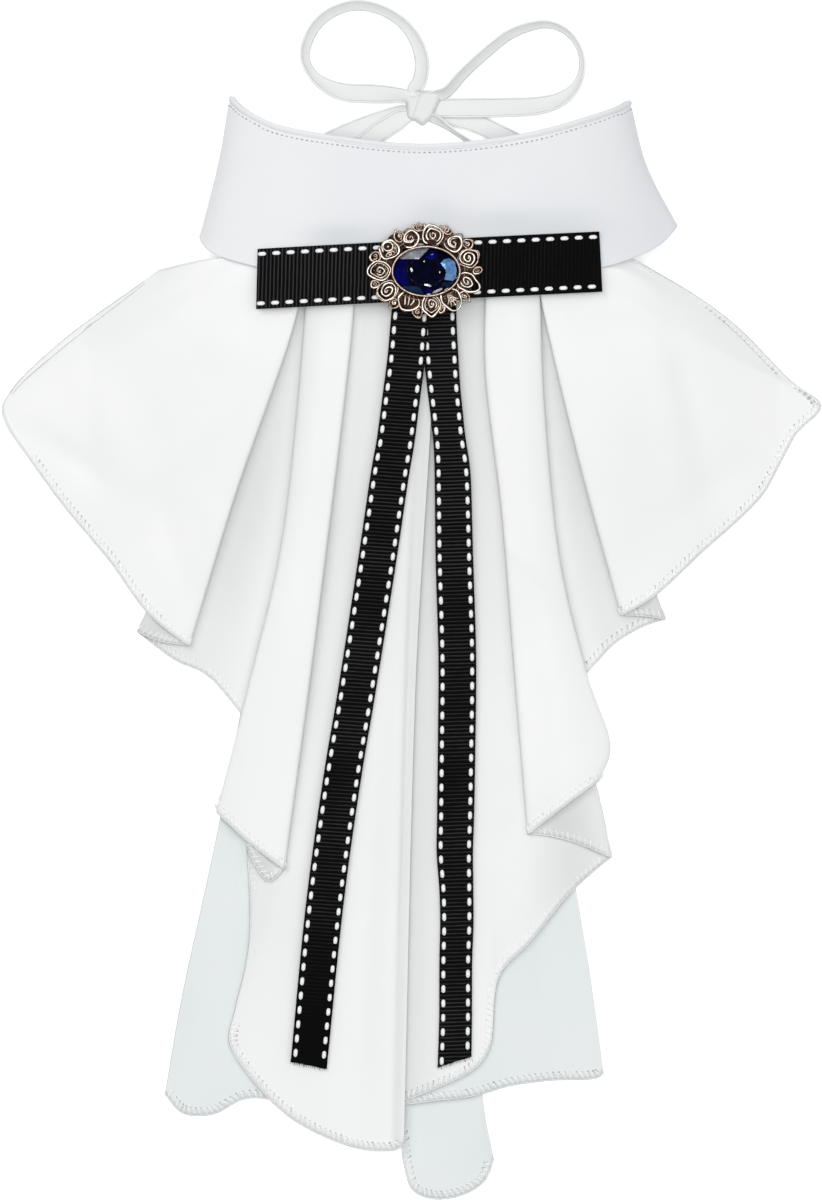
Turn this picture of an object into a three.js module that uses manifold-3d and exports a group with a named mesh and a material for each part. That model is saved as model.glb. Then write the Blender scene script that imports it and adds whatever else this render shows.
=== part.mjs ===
// A jabot: a detachable stand collar with a cascading white frill, a black ribbon bar with two
// tails, an oval brooch, and two white ties bound in a bow at the back of the neck.
// It lies face up. Millimetres, +Z up, +Y towards the bow, +X to the right of the picture.
// While it is laid out, x and y are measured from the brooch's centre.
import * as THREE from 'three';
import { mergeVertices } from 'three/addons/utils/BufferGeometryUtils.js';
import Module from 'manifold-3d';

const wasm = await Module();
wasm.setup();

// Driving dimensions
const CLOTH = 1.0;
const BAND_WALL = 1.8;
const BAND_FRONT_HEIGHT = 34;
const BAND_FRONT_DROP = 6.5;
const BAND_FRONT_REACH = 75;
const BAND_MIDDLE_X = 4;
const BAND_LOW_EDGE_Y = -2.8;
const BAND_SLOPE = 0.112;
const FRILL_STACK = 12.2;
const LAYER_SPREAD = 1.22;
const FRILL_FALL_START_Y = -6;
const FRILL_FALL_END_Y = -150;
const RIBBON = 1.0;
const BAR = {
  length: 139,
  width: 24,
  turn: THREE.MathUtils.degToRad(2.9),
  x: 2.2,
  y: 1.2,
  over: 2.6,
  steps: 10,
};
const TAIL = { width: 15.4, steps: 20 };
const TIE = { width: 8, thickness: 0.9, flat: 0.94 };
const KNOT = { x: -1.2, y: 66, over: 0.2, core: 3.8, rounding: 1.3, edge: 1 };
const BROOCH = { width: 45.5, height: 38.6, lobes: 12, lobeDepth: 0.045, plate: 2.2, over: 5.6 };
const BEZEL = { width: 27.6, height: 20.8, wall: 1.1, rise: 4.2 };
const STONE = { width: 24.6, height: 17.8 };
const PIN = { length: 30, radius: 0.6, over: 4.0, sides: 10 };
const OVAL_POINTS = 36;
const STONE_FACETS = 16;
const WELD = 1e-4;

const LOOKS = {
  cloth: { color: 0xf2f3f5, roughness: 0.85, metalness: 0 },
  tie: { color: 0xf1f2f4, roughness: 0.6, metalness: 0 },
  ribbon: { color: 0x0b0b0d, roughness: 0.75, metalness: 0 },
  metal: { color: 0xb08a68, roughness: 0.35, metalness: 1 },
  stone: { color: 0x0a1250, roughness: 0.05, metalness: 0 },
};

// How high the front of the collar lies at a place, carried on as a plane past its edge
function frontHeight(x, y) {
  const across = (x - BAND_MIDDLE_X) / BAND_FRONT_REACH;
  const arch = BAND_FRONT_HEIGHT - BAND_FRONT_DROP * across * across;
  return arch - BAND_SLOPE * (y - BAND_LOW_EDGE_Y);
}

// How high the lowest cloth hangs: from under the collar's edge down to the surface
function bed(x, y) {
  const fall = THREE.MathUtils.smoothstep(y, FRILL_FALL_END_Y, FRILL_FALL_START_Y);
  const top = frontHeight(x, BAND_LOW_EDGE_Y) - FRILL_STACK;
  return Math.max(0, top) * fall;
}

const overBed = (x, y, lift) => bed(x, y) + LAYER_SPREAD * lift;
const asGiven = (x, y, z) => z;

// Sheets. A row is one line of the cloth, from where it is sewn to its hem: its path holds
// x, y and the lift over the bed, which LAYER_SPREAD scales. A row with a turn is a fold: the
// cloth goes on from it in the other direction, lifted that much more or less.

function rowCurves(rows) {
  const curves = [];
  for (const row of rows) {
    const points = row.path.map(([x, y, lift]) => new THREE.Vector3(x, y, lift));
    curves.push({ curve: new THREE.CatmullRomCurve3(points, false, 'centripetal'), folds: false });
    if (row.turn) {
      const turned = points.map((p) => new THREE.Vector3(p.x, p.y, p.z + row.turn));
      curves.push({ curve: new THREE.CatmullRomCurve3(turned, false, 'centripetal'), folds: true });
    }
  }
  return curves;
}

function acrossPlaces(curves, foldSteps, flatSteps) {
  const places = [0];
  for (let i = 1; i < curves.length; i += 1) {
    const steps = curves[i].folds ? foldSteps : flatSteps;
    for (let k = 1; k <= steps; k += 1) {
      places.push((i - 1 + k / steps) / (curves.length - 1));
    }
  }
  return places;
}

// The grid of points in the middle of the cloth's thickness, one list for each step along it
function sheetGrid(rows, height, { along, foldSteps, flatSteps }) {
  const curves = rowCurves(rows);
  const places = acrossPlaces(curves, foldSteps, flatSteps);
  const grid = [];
  for (let j = 0; j <= along; j += 1) {
    const section = curves.map(({ curve }) => curve.getPointAt(j / along));
    const across = new THREE.CatmullRomCurve3(section, false, 'centripetal');
    const points = places.map((place) => across.getPoint(place));
    grid.push(points.map((p) => new THREE.Vector3(p.x, p.y, height(p.x, p.y, p.z))));
  }
  return grid;
}

function gridNormal(grid, j, i) {
  const last = grid.length - 1;
  const end = grid[0].length - 1;
  const alongStep = grid[Math.min(j + 1, last)][i].clone().sub(grid[Math.max(j - 1, 0)][i]);
  const acrossStep = grid[j][Math.min(i + 1, end)].clone().sub(grid[j][Math.max(i - 1, 0)]);
  return acrossStep.cross(alongStep).normalize();
}

// Two skins half a thickness to each side of the grid, closed by a rim. What lies on the
// surface is flattened there.
function sheetGeometry(rows, height, thickness, steps) {
  const grid = sheetGrid(rows, height, steps);
  const nAlong = grid.length;
  const nAcross = grid[0].length;
  const positions = [];
  for (const side of [0.5, -0.5]) {
    for (let j = 0; j < nAlong; j += 1) {
      for (let i = 0; i < nAcross; i += 1) {
        const p = grid[j][i].clone().addScaledVector(gridNormal(grid, j, i), side * thickness);
        positions.push(p.x, p.y, Math.max(p.z, 0));
      }
    }
  }
  const front = (j, i) => j * nAcross + i;
  const back = (j, i) => nAlong * nAcross + j * nAcross + i;
  const index = [];
  const quad = (a, b, c, d) => index.push(a, b, c, a, c, d);
  const [last, end] = [nAlong - 1, nAcross - 1];
  for (let j = 0; j < nAlong - 1; j += 1) {
    for (let i = 0; i < nAcross - 1; i += 1) {
      quad(front(j, i), front(j, i + 1), front(j + 1, i + 1), front(j + 1, i));
      quad(back(j, i), back(j + 1, i), back(j + 1, i + 1), back(j, i + 1));
    }
  }
  for (let i = 0; i < nAcross - 1; i += 1) {
    quad(front(0, i), back(0, i), back(0, i + 1), front(0, i + 1));
    quad(front(last, i + 1), back(last, i + 1), back(last, i), front(last, i));
  }
  for (let j = 0; j < nAlong - 1; j += 1) {
    quad(front(j + 1, 0), back(j + 1, 0), back(j, 0), front(j, 0));
    quad(front(j, end), back(j, end), back(j + 1, end), front(j + 1, end));
  }
  return facingOut(positions, index);
}

function enclosedVolume(positions, index) {
  const [a, b, c] = [new THREE.Vector3(), new THREE.Vector3(), new THREE.Vector3()];
  let volume = 0;
  for (let k = 0; k < index.length; k += 3) {
    a.fromArray(positions, 3 * index[k]);
    b.fromArray(positions, 3 * index[k + 1]);
    c.fromArray(positions, 3 * index[k + 2]);
    volume += a.dot(b.cross(c)) / 6;
  }
  return volume;
}

function facingOut(positions, index) {
  const faces = enclosedVolume(positions, index) < 0 ? [...index].reverse() : index;
  const geometry = new THREE.BufferGeometry();
  geometry.setAttribute('position', new THREE.Float32BufferAttribute(positions, 3));
  geometry.setIndex(faces);
  return geometry;
}

// The collar, a row for each section around the loop: its top edge, its middle, its lower edge
const BAND_SECTIONS = [
  { at: 'left end', path: [[-50, 51, 0.8], [-50.5, 30, 0.8], [-51, 10, 0.8]] },
  { at: 'back, left', path: [[-63, 57.5, 0.9], [-67, 34, 0.8], [-71, 10, 0.8]] },
  { at: 'turn, low left', path: [[-74.2, 66, 4.6], [-79, 39, 4.4], [-85.5, 11, 4.6]] },
  { at: 'left side', path: [[-77, 70.2, 12], [-81.8, 43, 12.6], [-89.2, 13.6, 13.5]] },
  { at: 'left shoulder', path: [[-72.4, 65.6, 19.6], [-78.6, 37, 20.8], [-85.4, 8, 21.5]] },
  { at: 'front, left', path: [[-60, 59, 24.2], [-63.5, 30.6, 26.4], [-67.5, 1.8, 28.3]] },
  { at: 'front, left of the brooch', path: [[-36, 54, 27], [-37, 26.4, 29.6], [-38, -1.2, 32]] },
  { at: 'middle of the front', path: [[0, 50.6, 28], [0, 24, 31.4], [0, BAND_LOW_EDGE_Y, 34]] },
  { at: 'front, right of the brooch', path: [[38, 54.6, 27], [40, 26.6, 29.8], [42, -1.2, 32.2]] },
  { at: 'front, right', path: [[63, 61.2, 24], [67.5, 31.6, 26.2], [73, 2, 28.3]] },
  { at: 'right shoulder', path: [[76.4, 66, 19.4], [83, 38, 20.6], [92.8, 10.2, 21.4]] },
  { at: 'right side', path: [[81, 68.4, 12], [87.6, 42.5, 12.8], [100, 18, 13.5]] },
  { at: 'turn, low right', path: [[77.6, 64.4, 4.6], [83.8, 38, 4.4], [93.6, 13.6, 4.6]] },
  { at: 'back, right', path: [[64, 57, 0.9], [69, 34, 0.8], [75, 11, 0.8]] },
  { at: 'right end', path: [[48, 51, 0.8], [50, 30, 0.8], [51, 10, 0.8]] },
];

// The left cascade, from the wing's upper edge to the edge along the middle
const FRILL_LEFT = [
  { fold: 'upper edge', path: [[-70, 6.8, 7.6], [-89, 4.6, 5.6], [-105.6, 1, 1.4]] },
  { fold: 'wing', path: [[-68, 5.4, 8], [-96, -4, 6.4], [-127.2, -16.4, 0.9]] },
  { fold: 'wing', path: [[-66, 4.6, 8.2], [-106, -13, 7], [-148.4, -33.6, 0.5]] },
  { fold: 'wing', path: [[-64, 4, 8.2], [-112, -22, 7.6], [-164.8, -47.2, 0.4]] },
  { fold: 'wing tip', path: [[-62, 3.8, 8.2], [-114, -27, 7.8], [-168.8, -53.6, 0.4]] },
  { fold: 'wing', path: [[-60, 3.6, 8.2], [-113, -32, 7.8], [-166.8, -61.2, 0.4]] },
  { fold: 'wing', path: [[-58, 3.4, 8.2], [-107, -38, 8], [-158.2, -74, 0.4]] },
  { fold: 'wing', path: [[-56, 3.2, 8.2], [-98, -48, 8.6], [-143.2, -94.4, 0.6]] },
  { fold: 'wing', path: [[-53.4, 3, 8.2], [-88, -58, 9.4], [-126, -114.8, 2.2]] },
  { fold: 'wing', path: [[-50, 2.8, 8.2], [-78, -68, 10.2], [-110, -136.4, 4.8]] },
  {
    fold: 'first crease',
    turn: -1.8,
    path: [[-47, 2.6, 8.2], [-53.6, -24.8, 8.6], [-75.6, -87.2, 9.6], [-94.6, -148.7, 5.2]],
  },
  {
    fold: 'under the wing',
    path: [[-48.6, 2.6, 6.3], [-54.5, -24, 6.7], [-79, -82, 7.2], [-106, -147, 3]],
  },
  {
    fold: 'first outer fold',
    turn: -1.8,
    path: [[-53, 2.6, 6.3], [-57, -22, 6.6], [-82, -75, 7], [-114.6, -143.4, 3]],
  },
  {
    fold: 'second panel',
    path: [[-48.6, 2.6, 4.4], [-54, -21, 4.5], [-77, -82, 4.8], [-100, -154.4, 0.6]],
  },
  { fold: 'second panel', path: [[-46, 2.6, 4.4], [-51, -20, 4.2], [-69, -92, 3.8], [-87.2, -160.4, 0.7]] },
  {
    fold: 'second panel',
    path: [[-44, 2.6, 4.4], [-48.6, -19, 3.8], [-61.5, -102, 3.2], [-73.6, -175.6, 1.8]],
  },
  {
    fold: 'inner fold',
    turn: 1.8,
    path: [[-40, 2.6, 4.4], [-43.4, -19, 3.8], [-54, -112, 3.2], [-66, -186, 2.4]],
  },
  {
    fold: 'second outer fold',
    turn: 1.8,
    path: [[-46.4, 2.6, 6.3], [-47.4, -17.2, 5.9], [-57, -109, 5.7], [-70, -165, 5.3], [-82.8, -215.6, 4]],
  },
  { fold: 'third panel', path: [[-37, 2.6, 8.2], [-38, -16, 8.2], [-50, -118, 8.6], [-70, -227.6, 5.8]] },
  {
    fold: 'second crease',
    turn: -1.8,
    path: [[-28.6, 2.2, 8.2], [-28.8, -14, 8.2], [-42.8, -134.8, 8.4], [-56.4, -238, 6.2]],
  },
  {
    fold: 'under the third panel',
    path: [[-32.2, 2.2, 6.3], [-32.4, -15, 6.3], [-47, -130, 6], [-62.8, -243, 4.2]],
  },
  {
    fold: 'third outer fold',
    turn: -1.8,
    path: [[-36, 2.2, 6.3], [-36, -16, 6.3], [-51, -126, 5.4], [-71, -230, 4.2]],
  },
  {
    fold: 'middle panel',
    path: [[-32.6, 2.2, 4.4], [-32.6, -16, 4.4], [-46, -137, 3.4], [-61.4, -222, 2.8], [-69.8, -267, 2.3]],
  },
  {
    fold: 'middle panel',
    path: [[-29.6, 2, 4.4], [-29.6, -16, 4.4], [-43, -147, 3.2], [-62, -250, 2.6], [-75.6, -294.8, 2.2]],
  },
  {
    fold: 'middle panel',
    path: [[-26.8, 2, 4.4], [-26.8, -16, 4.4], [-40.4, -152, 3.2], [-61, -262, 2.6], [-78, -307, 2.1]],
  },
  {
    fold: 'middle panel',
    path: [[-24, 2, 4.4], [-24.2, -16, 4.4], [-37.6, -155, 3.3], [-56.6, -266, 2.7], [-72.4, -318, 2.2]],
  },
  {
    fold: 'middle panel',
    path: [[-18.6, 1.8, 4.5], [-19, -16, 4.5], [-31, -158, 3.8], [-54, -337.2, 2.4]],
  },
  {
    fold: 'middle panel',
    path: [[-11, 1.6, 5.6], [-11.4, -16, 5.8], [-18.6, -162, 5.8], [-28.4, -349.2, 4.2]],
  },
  {
    fold: 'valley shoulder',
    path: [[-6, 1.4, 6.4], [-5, -18, 6.8], [-9.4, -166, 7.4], [-14.6, -350.4, 6.4]],
  },
  { fold: 'valley', path: [[-2.6, 1.3, 6.4], [-0.6, -18, 6.2], [-6.6, -166, 6.2], [-11.6, -350, 6]] },
  { fold: 'edge', path: [[0.6, 1.2, 6.4], [3.4, -18, 6.8], [-3.8, -166, 7], [-8.4, -348, 6.2]] },
];

// The right cascade, from the wing's upper edge to the stretch hidden under the left edge
const FRILL_RIGHT = [
  { fold: 'upper edge', path: [[64, 6.2, 7.6], [74, 5.6, 6], [82, 5.2, 4]] },
  { fold: 'wing', path: [[62.6, 5.4, 8], [78, 2.6, 6.4], [92.4, -0.6, 3]] },
  { fold: 'wing', path: [[61, 4.8, 8.2], [84, -2, 7.2], [108.4, -10, 1]] },
  { fold: 'wing', path: [[59.4, 4.4, 8.2], [91, -9, 7.8], [124.4, -22, 0.6]] },
  { fold: 'wing', path: [[57.8, 4, 8.2], [100, -20, 8], [146, -43.4, 0.4]] },
  { fold: 'wing tip', path: [[56.2, 3.8, 8.2], [104, -26, 8], [158, -53.2, 0.4]] },
  { fold: 'wing', path: [[54.8, 3.6, 8.2], [99, -32, 8], [148.4, -64, 0.4]] },
  { fold: 'wing', path: [[53.4, 3.4, 8.2], [94, -38, 8.2], [140.8, -78, 0.4]] },
  { fold: 'wing', path: [[52, 3.2, 8.2], [90, -43, 8.4], [135.2, -88, 0.4]] },
  { fold: 'wing', path: [[50.6, 3, 8.2], [84, -49, 8.8], [124.4, -99.2, 0.6]] },
  { fold: 'wing', path: [[48.8, 2.8, 8.2], [78, -54, 9.4], [111.6, -110.4, 2.6]] },
  { fold: 'wing', path: [[46.6, 2.6, 8.2], [69, -62, 10.2], [91.2, -129.2, 5]] },
  {
    fold: 'first crease',
    turn: -1.8,
    path: [[44.4, 2.4, 8.2], [47.6, -16, 8.5], [60.5, -70, 9.6], [78.8, -136.6, 5.4]],
  },
  { fold: 'under the wing', path: [[46, 2.4, 6.3], [49, -15, 6.5], [64, -66, 7.2], [88, -137, 3]] },
  {
    fold: 'first outer fold',
    turn: -1.8,
    path: [[50.6, 2.4, 6.3], [53, -14, 6.5], [67, -62, 7], [95.6, -138.2, 2.6]],
  },
  { fold: 'second panel', path: [[46, 2.4, 4.4], [49, -15, 4.4], [63, -70, 4.8], [86.4, -141.4, 0.6]] },
  { fold: 'second panel', path: [[43.6, 2.2, 4.4], [46.6, -15, 4.2], [57.6, -80, 4], [75.6, -148, 0.7]] },
  {
    fold: 'second panel',
    path: [[41.6, 2.2, 4.4], [44.4, -14, 3.8], [53.6, -90, 3.4], [66.4, -157.6, 1.6]],
  },
  {
    fold: 'inner fold',
    turn: 1.8,
    path: [[38, 2.2, 4.4], [40.6, -13, 3.8], [46.8, -98, 3.2], [56.6, -168, 2.4]],
  },
  {
    fold: 'second outer fold',
    turn: 1.8,
    path: [
      [44, 2.2, 6.3], [45.2, -12, 5.9], [47, -52, 5.8], [53.6, -116, 5.8],
      [64.6, -162, 5.6], [73.6, -190, 4.8], [69.2, -202.8, 4.6],
    ],
  },
  { fold: 'third panel', path: [[34, 2, 8.2], [34.6, -12, 8.2], [43, -112, 8.6], [56, -212.6, 6.4]] },
  {
    fold: 'second crease',
    turn: -1.8,
    path: [
      [25, 1.6, 8.2], [24.4, -12, 8.2], [24.4, -39.2, 8.2],
      [31, -96, 8.4], [36.2, -160, 8], [41.4, -224, 6.4],
    ],
  },
  {
    fold: 'under the third panel',
    path: [[28.8, 1.7, 6.3], [28.4, -12, 6.3], [34, -108, 6.2], [50.4, -225, 4.2]],
  },
  {
    fold: 'under the third panel',
    path: [[32.2, 1.8, 6.3], [32, -12, 6.3], [38.4, -111, 5.8], [61, -227.8, 3.3]],
  },
  {
    fold: 'third outer fold',
    turn: -1.8,
    path: [
      [36, 1.9, 6.3], [36, -12, 6.3], [42, -112, 5.4],
      [52, -165, 4.2], [67.4, -203, 2.8], [74.2, -233.4, 2.5],
    ],
  },
  {
    fold: 'middle panel',
    path: [[32.4, 1.8, 4.5], [32.2, -12, 4.5], [39.4, -122, 3.7], [58.8, -246.8, 2.2]],
  },
  { fold: 'middle panel', path: [[28.6, 1.6, 4.5], [28, -12, 4.5], [35, -130, 4], [42, -267.2, 3.3]] },
  { fold: 'middle panel', path: [[24.4, 1.5, 4.5], [23.4, -12, 4.5], [31, -136, 4.1], [29.4, -281, 3.7]] },
  { fold: 'middle panel', path: [[21, 1.4, 4.5], [20, -13, 4.5], [26, -144, 4.2], [25.4, -310, 3.9]] },
  { fold: 'middle panel', path: [[16.6, 1.3, 4.5], [16, -14, 4.5], [20.6, -148, 4.3], [19.4, -318.2, 4]] },
  { fold: 'middle panel', path: [[8.6, 1.1, 4.4], [9, -16, 4.4], [9.6, -150, 4.4], [6, -325, 4.2]] },
  { fold: 'hidden edge', path: [[0, 1, 4.4], [-1, -16, 4.4], [-8.6, -150, 4.4], [-13, -332.4, 4.2]] },
];

// The longer cloth behind the left cascade, which ends in the lowest tab
const UNDERLAY_LEFT = [
  {
    at: 'outer edge',
    path: [[-40, 2, 0.6], [-52, -60, 0.5], [-82.4, -220, 0.4], [-98, -292.8, 0.4], [-104, -328, 0.4]],
  },
  { at: 'hem', path: [[-38, 2, 0.6], [-50, -60, 0.5], [-75, -220, 0.4], [-97, -335.6, 0.4]] },
  { at: 'hem', path: [[-35, 2, 0.6], [-45, -60, 0.5], [-67, -220, 0.6], [-85.2, -336.2, 0.6]] },
  { at: 'hem', path: [[-31, 2, 0.6], [-40, -60, 0.5], [-58, -220, 0.4], [-72, -330, 0.4]] },
  { at: 'hem', path: [[-27, 2, 0.6], [-34, -60, 0.5], [-48, -220, 0.4], [-60, -330.4, 0.4]] },
  { at: 'hem', path: [[-19, 2, 0.6], [-24, -60, 0.5], [-34, -220, 0.4], [-38, -335, 0.4]] },
  { at: 'hem', path: [[-10, 1.6, 0.6], [-12, -60, 0.5], [-15, -220, 0.4], [-11.8, -341, 0.4]] },
  { at: 'side of the tab', path: [[-6, 1.4, 0.6], [-7, -60, 0.5], [-9, -220, 0.4], [-8, -357, 0.4]] },
  { at: 'tab', path: [[-3, 1.2, 0.6], [-3.5, -60, 0.5], [-4, -220, 0.4], [-4.8, -366.4, 0.4]] },
  { at: 'tab', path: [[2, 1.2, 0.6], [2, -60, 0.5], [3, -220, 0.4], [3.6, -370, 0.4]] },
  { at: 'tab', path: [[8, 1.2, 0.6], [9, -60, 0.5], [11, -220, 0.4], [16, -368, 0.4]] },
  { at: 'tab', path: [[12, 1.2, 0.6], [13, -60, 0.5], [16, -220, 0.4], [23.8, -362.6, 0.4]] },
  {
    at: 'side of the tab',
    path: [[15, 1.4, 0.6], [16, -60, 0.5], [19, -220, 0.4], [23.2, -330, 0.4], [27.4, -354, 0.4]],
  },
];

// The longer cloth behind the right cascade
const UNDERLAY_RIGHT = [
  { at: 'hidden edge', path: [[-8, 1.4, 2.5], [-9, -60, 2.5], [-11, -220, 2.4], [-12.6, -333, 2.4]] },
  { at: 'hem', path: [[0, 1.2, 2.5], [0, -60, 2.5], [2, -220, 2.4], [3.6, -330.8, 2.4]] },
  { at: 'hem', path: [[8, 1.2, 2.5], [9, -60, 2.5], [14, -220, 2.4], [19.6, -328.8, 2.4]] },
  { at: 'hem', path: [[15, 1.4, 2.5], [18, -60, 2.4], [26, -220, 1.9], [33.6, -324.8, 1.8]] },
  { at: 'hem', path: [[22, 1.6, 2.2], [28, -60, 2.1], [41, -220, 1.2], [50.4, -322.6, 0.6]] },
  { at: 'hem', path: [[30, 1.8, 2.2], [38, -60, 2.1], [54, -220, 0.7], [68.8, -321.6, 0.4]] },
  {
    at: 'outer edge',
    path: [[32, 1.8, 2.2], [40.5, -60, 2.1], [56.5, -220, 0.6], [66.4, -283, 0.5], [71.4, -319.6, 0.4]],
  },
];

// The black ribbon bar lies on the front of the collar and bows with it
function barGeometry() {
  const place = (s, w) => {
    const along = (s - 0.5) * BAR.length;
    const side = (w - 0.5) * BAR.width;
    const x = BAR.x + along * Math.cos(BAR.turn) - side * Math.sin(BAR.turn);
    const y = BAR.y + along * Math.sin(BAR.turn) + side * Math.cos(BAR.turn);
    return [x, y, frontHeight(x, y) + BAR.over];
  };
  const rows = [];
  for (let k = 0; k <= BAR.steps; k += 1) {
    const s = k / BAR.steps;
    rows.push({ path: [place(s, 1), place(s, 0.5), place(s, 0)] });
  }
  return sheetGeometry(rows, asGiven, RIBBON, { along: 2, foldSteps: 1, flatSteps: 1 });
}

// A tail is a flat ribbon: each place along it has its middle and its lift over the bed
const TAIL_LEFT = [
  { x: -5.6, y: -4, lift: 10.5 },
  { x: -7.2, y: -14, lift: 10.4 },
  { x: -9.6, y: -34, lift: 9.6 },
  { x: -14.4, y: -80, lift: 9 },
  { x: -18.8, y: -113, lift: 8.5 },
  { x: -27.8, y: -171, lift: 7.2 },
  { x: -39.4, y: -250, lift: 6.2 },
  { x: -46.2, y: -317.6, lift: 4.8 },
];
const TAIL_RIGHT = [
  { x: 5.4, y: -4, lift: 9.2 },
  { x: 5.6, y: -14, lift: 8.9 },
  { x: 6.4, y: -34, lift: 8.2 },
  { x: 9.6, y: -72, lift: 8 },
  { x: 11.8, y: -114, lift: 7.6 },
  { x: 12.6, y: -160, lift: 7 },
  { x: 12.4, y: -203, lift: 6.4 },
  { x: 12.2, y: -229, lift: 6.2 },
  { x: 12.8, y: -252, lift: 6 },
  { x: 12, y: -317.2, lift: 5.6 },
];

function tailGeometry(places) {
  const middle = new THREE.CatmullRomCurve3(
    places.map(({ x, y, lift }) => new THREE.Vector3(x, y, lift)), false, 'centripetal');
  const { steps } = TAIL;
  const rows = [];
  for (const side of [-0.5, 0, 0.5]) {
    const path = [];
    for (let k = 0; k <= steps; k += 1) {
      const p = middle.getPointAt(k / steps);
      const way = middle.getTangentAt(k / steps);
      const flat = Math.hypot(way.x, way.y);
      path.push([
        p.x - side * TAIL.width * way.y / flat,
        p.y + side * TAIL.width * way.x / flat,
        p.z,
      ]);
    }
    rows.push({ path });
  }
  return sheetGeometry(rows, overBed, RIBBON, { along: steps, foldSteps: 1, flatSteps: 1 });
}

// The ties. Each place has the ribbon's middle, how high its lower edge lies, and its tilt in
// degrees: 0 lies flat, 90 stands on edge.
const TIES = {
  tie_left_run: [
    { x: -45.4, y: 48, low: 0.1, tilt: 0 },
    { x: -40, y: 51.6, low: 0.1, tilt: 0 },
    { x: -32, y: 55.6, low: 0.1, tilt: 0 },
    { x: -22, y: 59.6, low: 0.1, tilt: 0 },
    { x: -10.4, y: 63.4, low: 0.3, tilt: 0 },
  ],
  tie_left_loop: [
    { x: -10.4, y: 70, low: 2.9, tilt: 8 },
    { x: -22, y: 71.4, low: 1.4, tilt: 30 },
    { x: -32, y: 72.6, low: 0.2, tilt: 28 },
    { x: -40, y: 75.8, low: 0.1, tilt: 40 },
    { x: -45.4, y: 79.8, low: 0.1, tilt: 62 },
    { x: -48, y: 86, low: 0.1, tilt: 64 },
    { x: -46, y: 94.8, low: 0.1, tilt: 60 },
    { x: -40.4, y: 102, low: 0.1, tilt: 60 },
    { x: -32, y: 106.2, low: 0.1, tilt: 62 },
    { x: -24.4, y: 106.8, low: 0.1, tilt: 62 },
    { x: -15.6, y: 104.2, low: 0.1, tilt: 64 },
    { x: -7.8, y: 98.6, low: 0.1, tilt: 60 },
    { x: -3, y: 91.2, low: 0.1, tilt: 50 },
    { x: -1.2, y: 83.4, low: 0.4, tilt: 36 },
    { x: -2.2, y: 76.6, low: 1.6, tilt: 20 },
    { x: -3.2, y: 73.6, low: 2.4, tilt: 8 },
  ],
  tie_left_end: [
    { x: -9.6, y: 61.6, low: 1.9, tilt: 0 },
    { x: -14, y: 59, low: 1.7, tilt: 0 },
    { x: -20, y: 55, low: 1.6, tilt: 0 },
    { x: -25.4, y: 50, low: 1.5, tilt: 0 },
    { x: -30, y: 43, low: 0.1, tilt: 0 },
  ],
  tie_right_run: [
    { x: 43.4, y: 48, low: 0.1, tilt: 0 },
    { x: 37, y: 51.8, low: 0.1, tilt: 0 },
    { x: 30, y: 55.4, low: 0.1, tilt: 0 },
    { x: 20, y: 60, low: 0.1, tilt: 0 },
    { x: 6.8, y: 63.6, low: 0.3, tilt: 0 },
  ],
  tie_right_loop: [
    { x: 6.8, y: 73.4, low: 2.2, tilt: 56 },
    { x: 15.4, y: 79.6, low: 0.8, tilt: 60 },
    { x: 25, y: 88.4, low: 0.1, tilt: 60 },
    { x: 33.6, y: 95, low: 0.1, tilt: 62 },
    { x: 42, y: 98.4, low: 0.1, tilt: 66 },
    { x: 49.6, y: 99.2, low: 0.1, tilt: 72 },
    { x: 56.6, y: 96.2, low: 0.1, tilt: 76 },
    { x: 61.4, y: 90, low: 0.1, tilt: 78 },
    { x: 62.8, y: 82.4, low: 0.1, tilt: 76 },
    { x: 60.6, y: 75.2, low: 0.1, tilt: 66 },
    { x: 54.8, y: 69.8, low: 0.2, tilt: 46 },
    { x: 46, y: 67, low: 0.8, tilt: 24 },
    { x: 31.6, y: 66.2, low: 1.9, tilt: 8 },
    { x: 18, y: 66, low: 2, tilt: 4 },
    { x: 6.8, y: 65.8, low: 1.7, tilt: 0 },
  ],
  tie_right_end: [
    { x: 3.4, y: 57.4, low: 0.3, tilt: 60 },
    { x: 8, y: 55.4, low: 0.1, tilt: 78 },
    { x: 14, y: 52.4, low: 0.1, tilt: 80 },
    { x: 20, y: 48.4, low: 0.1, tilt: 72 },
    { x: 26, y: 43, low: 0.1, tilt: 50 },
  ],
};

// The flat oval section of a tie, in its own width and thickness
function tieSection() {
  const [w, t] = [TIE.width / 2, TIE.thickness / 2];
  const flat = TIE.flat * w;
  return [[-w, 0], [-flat, -t], [0, -t], [flat, -t], [w, 0], [flat, t], [0, t], [-flat, t]];
}

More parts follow.
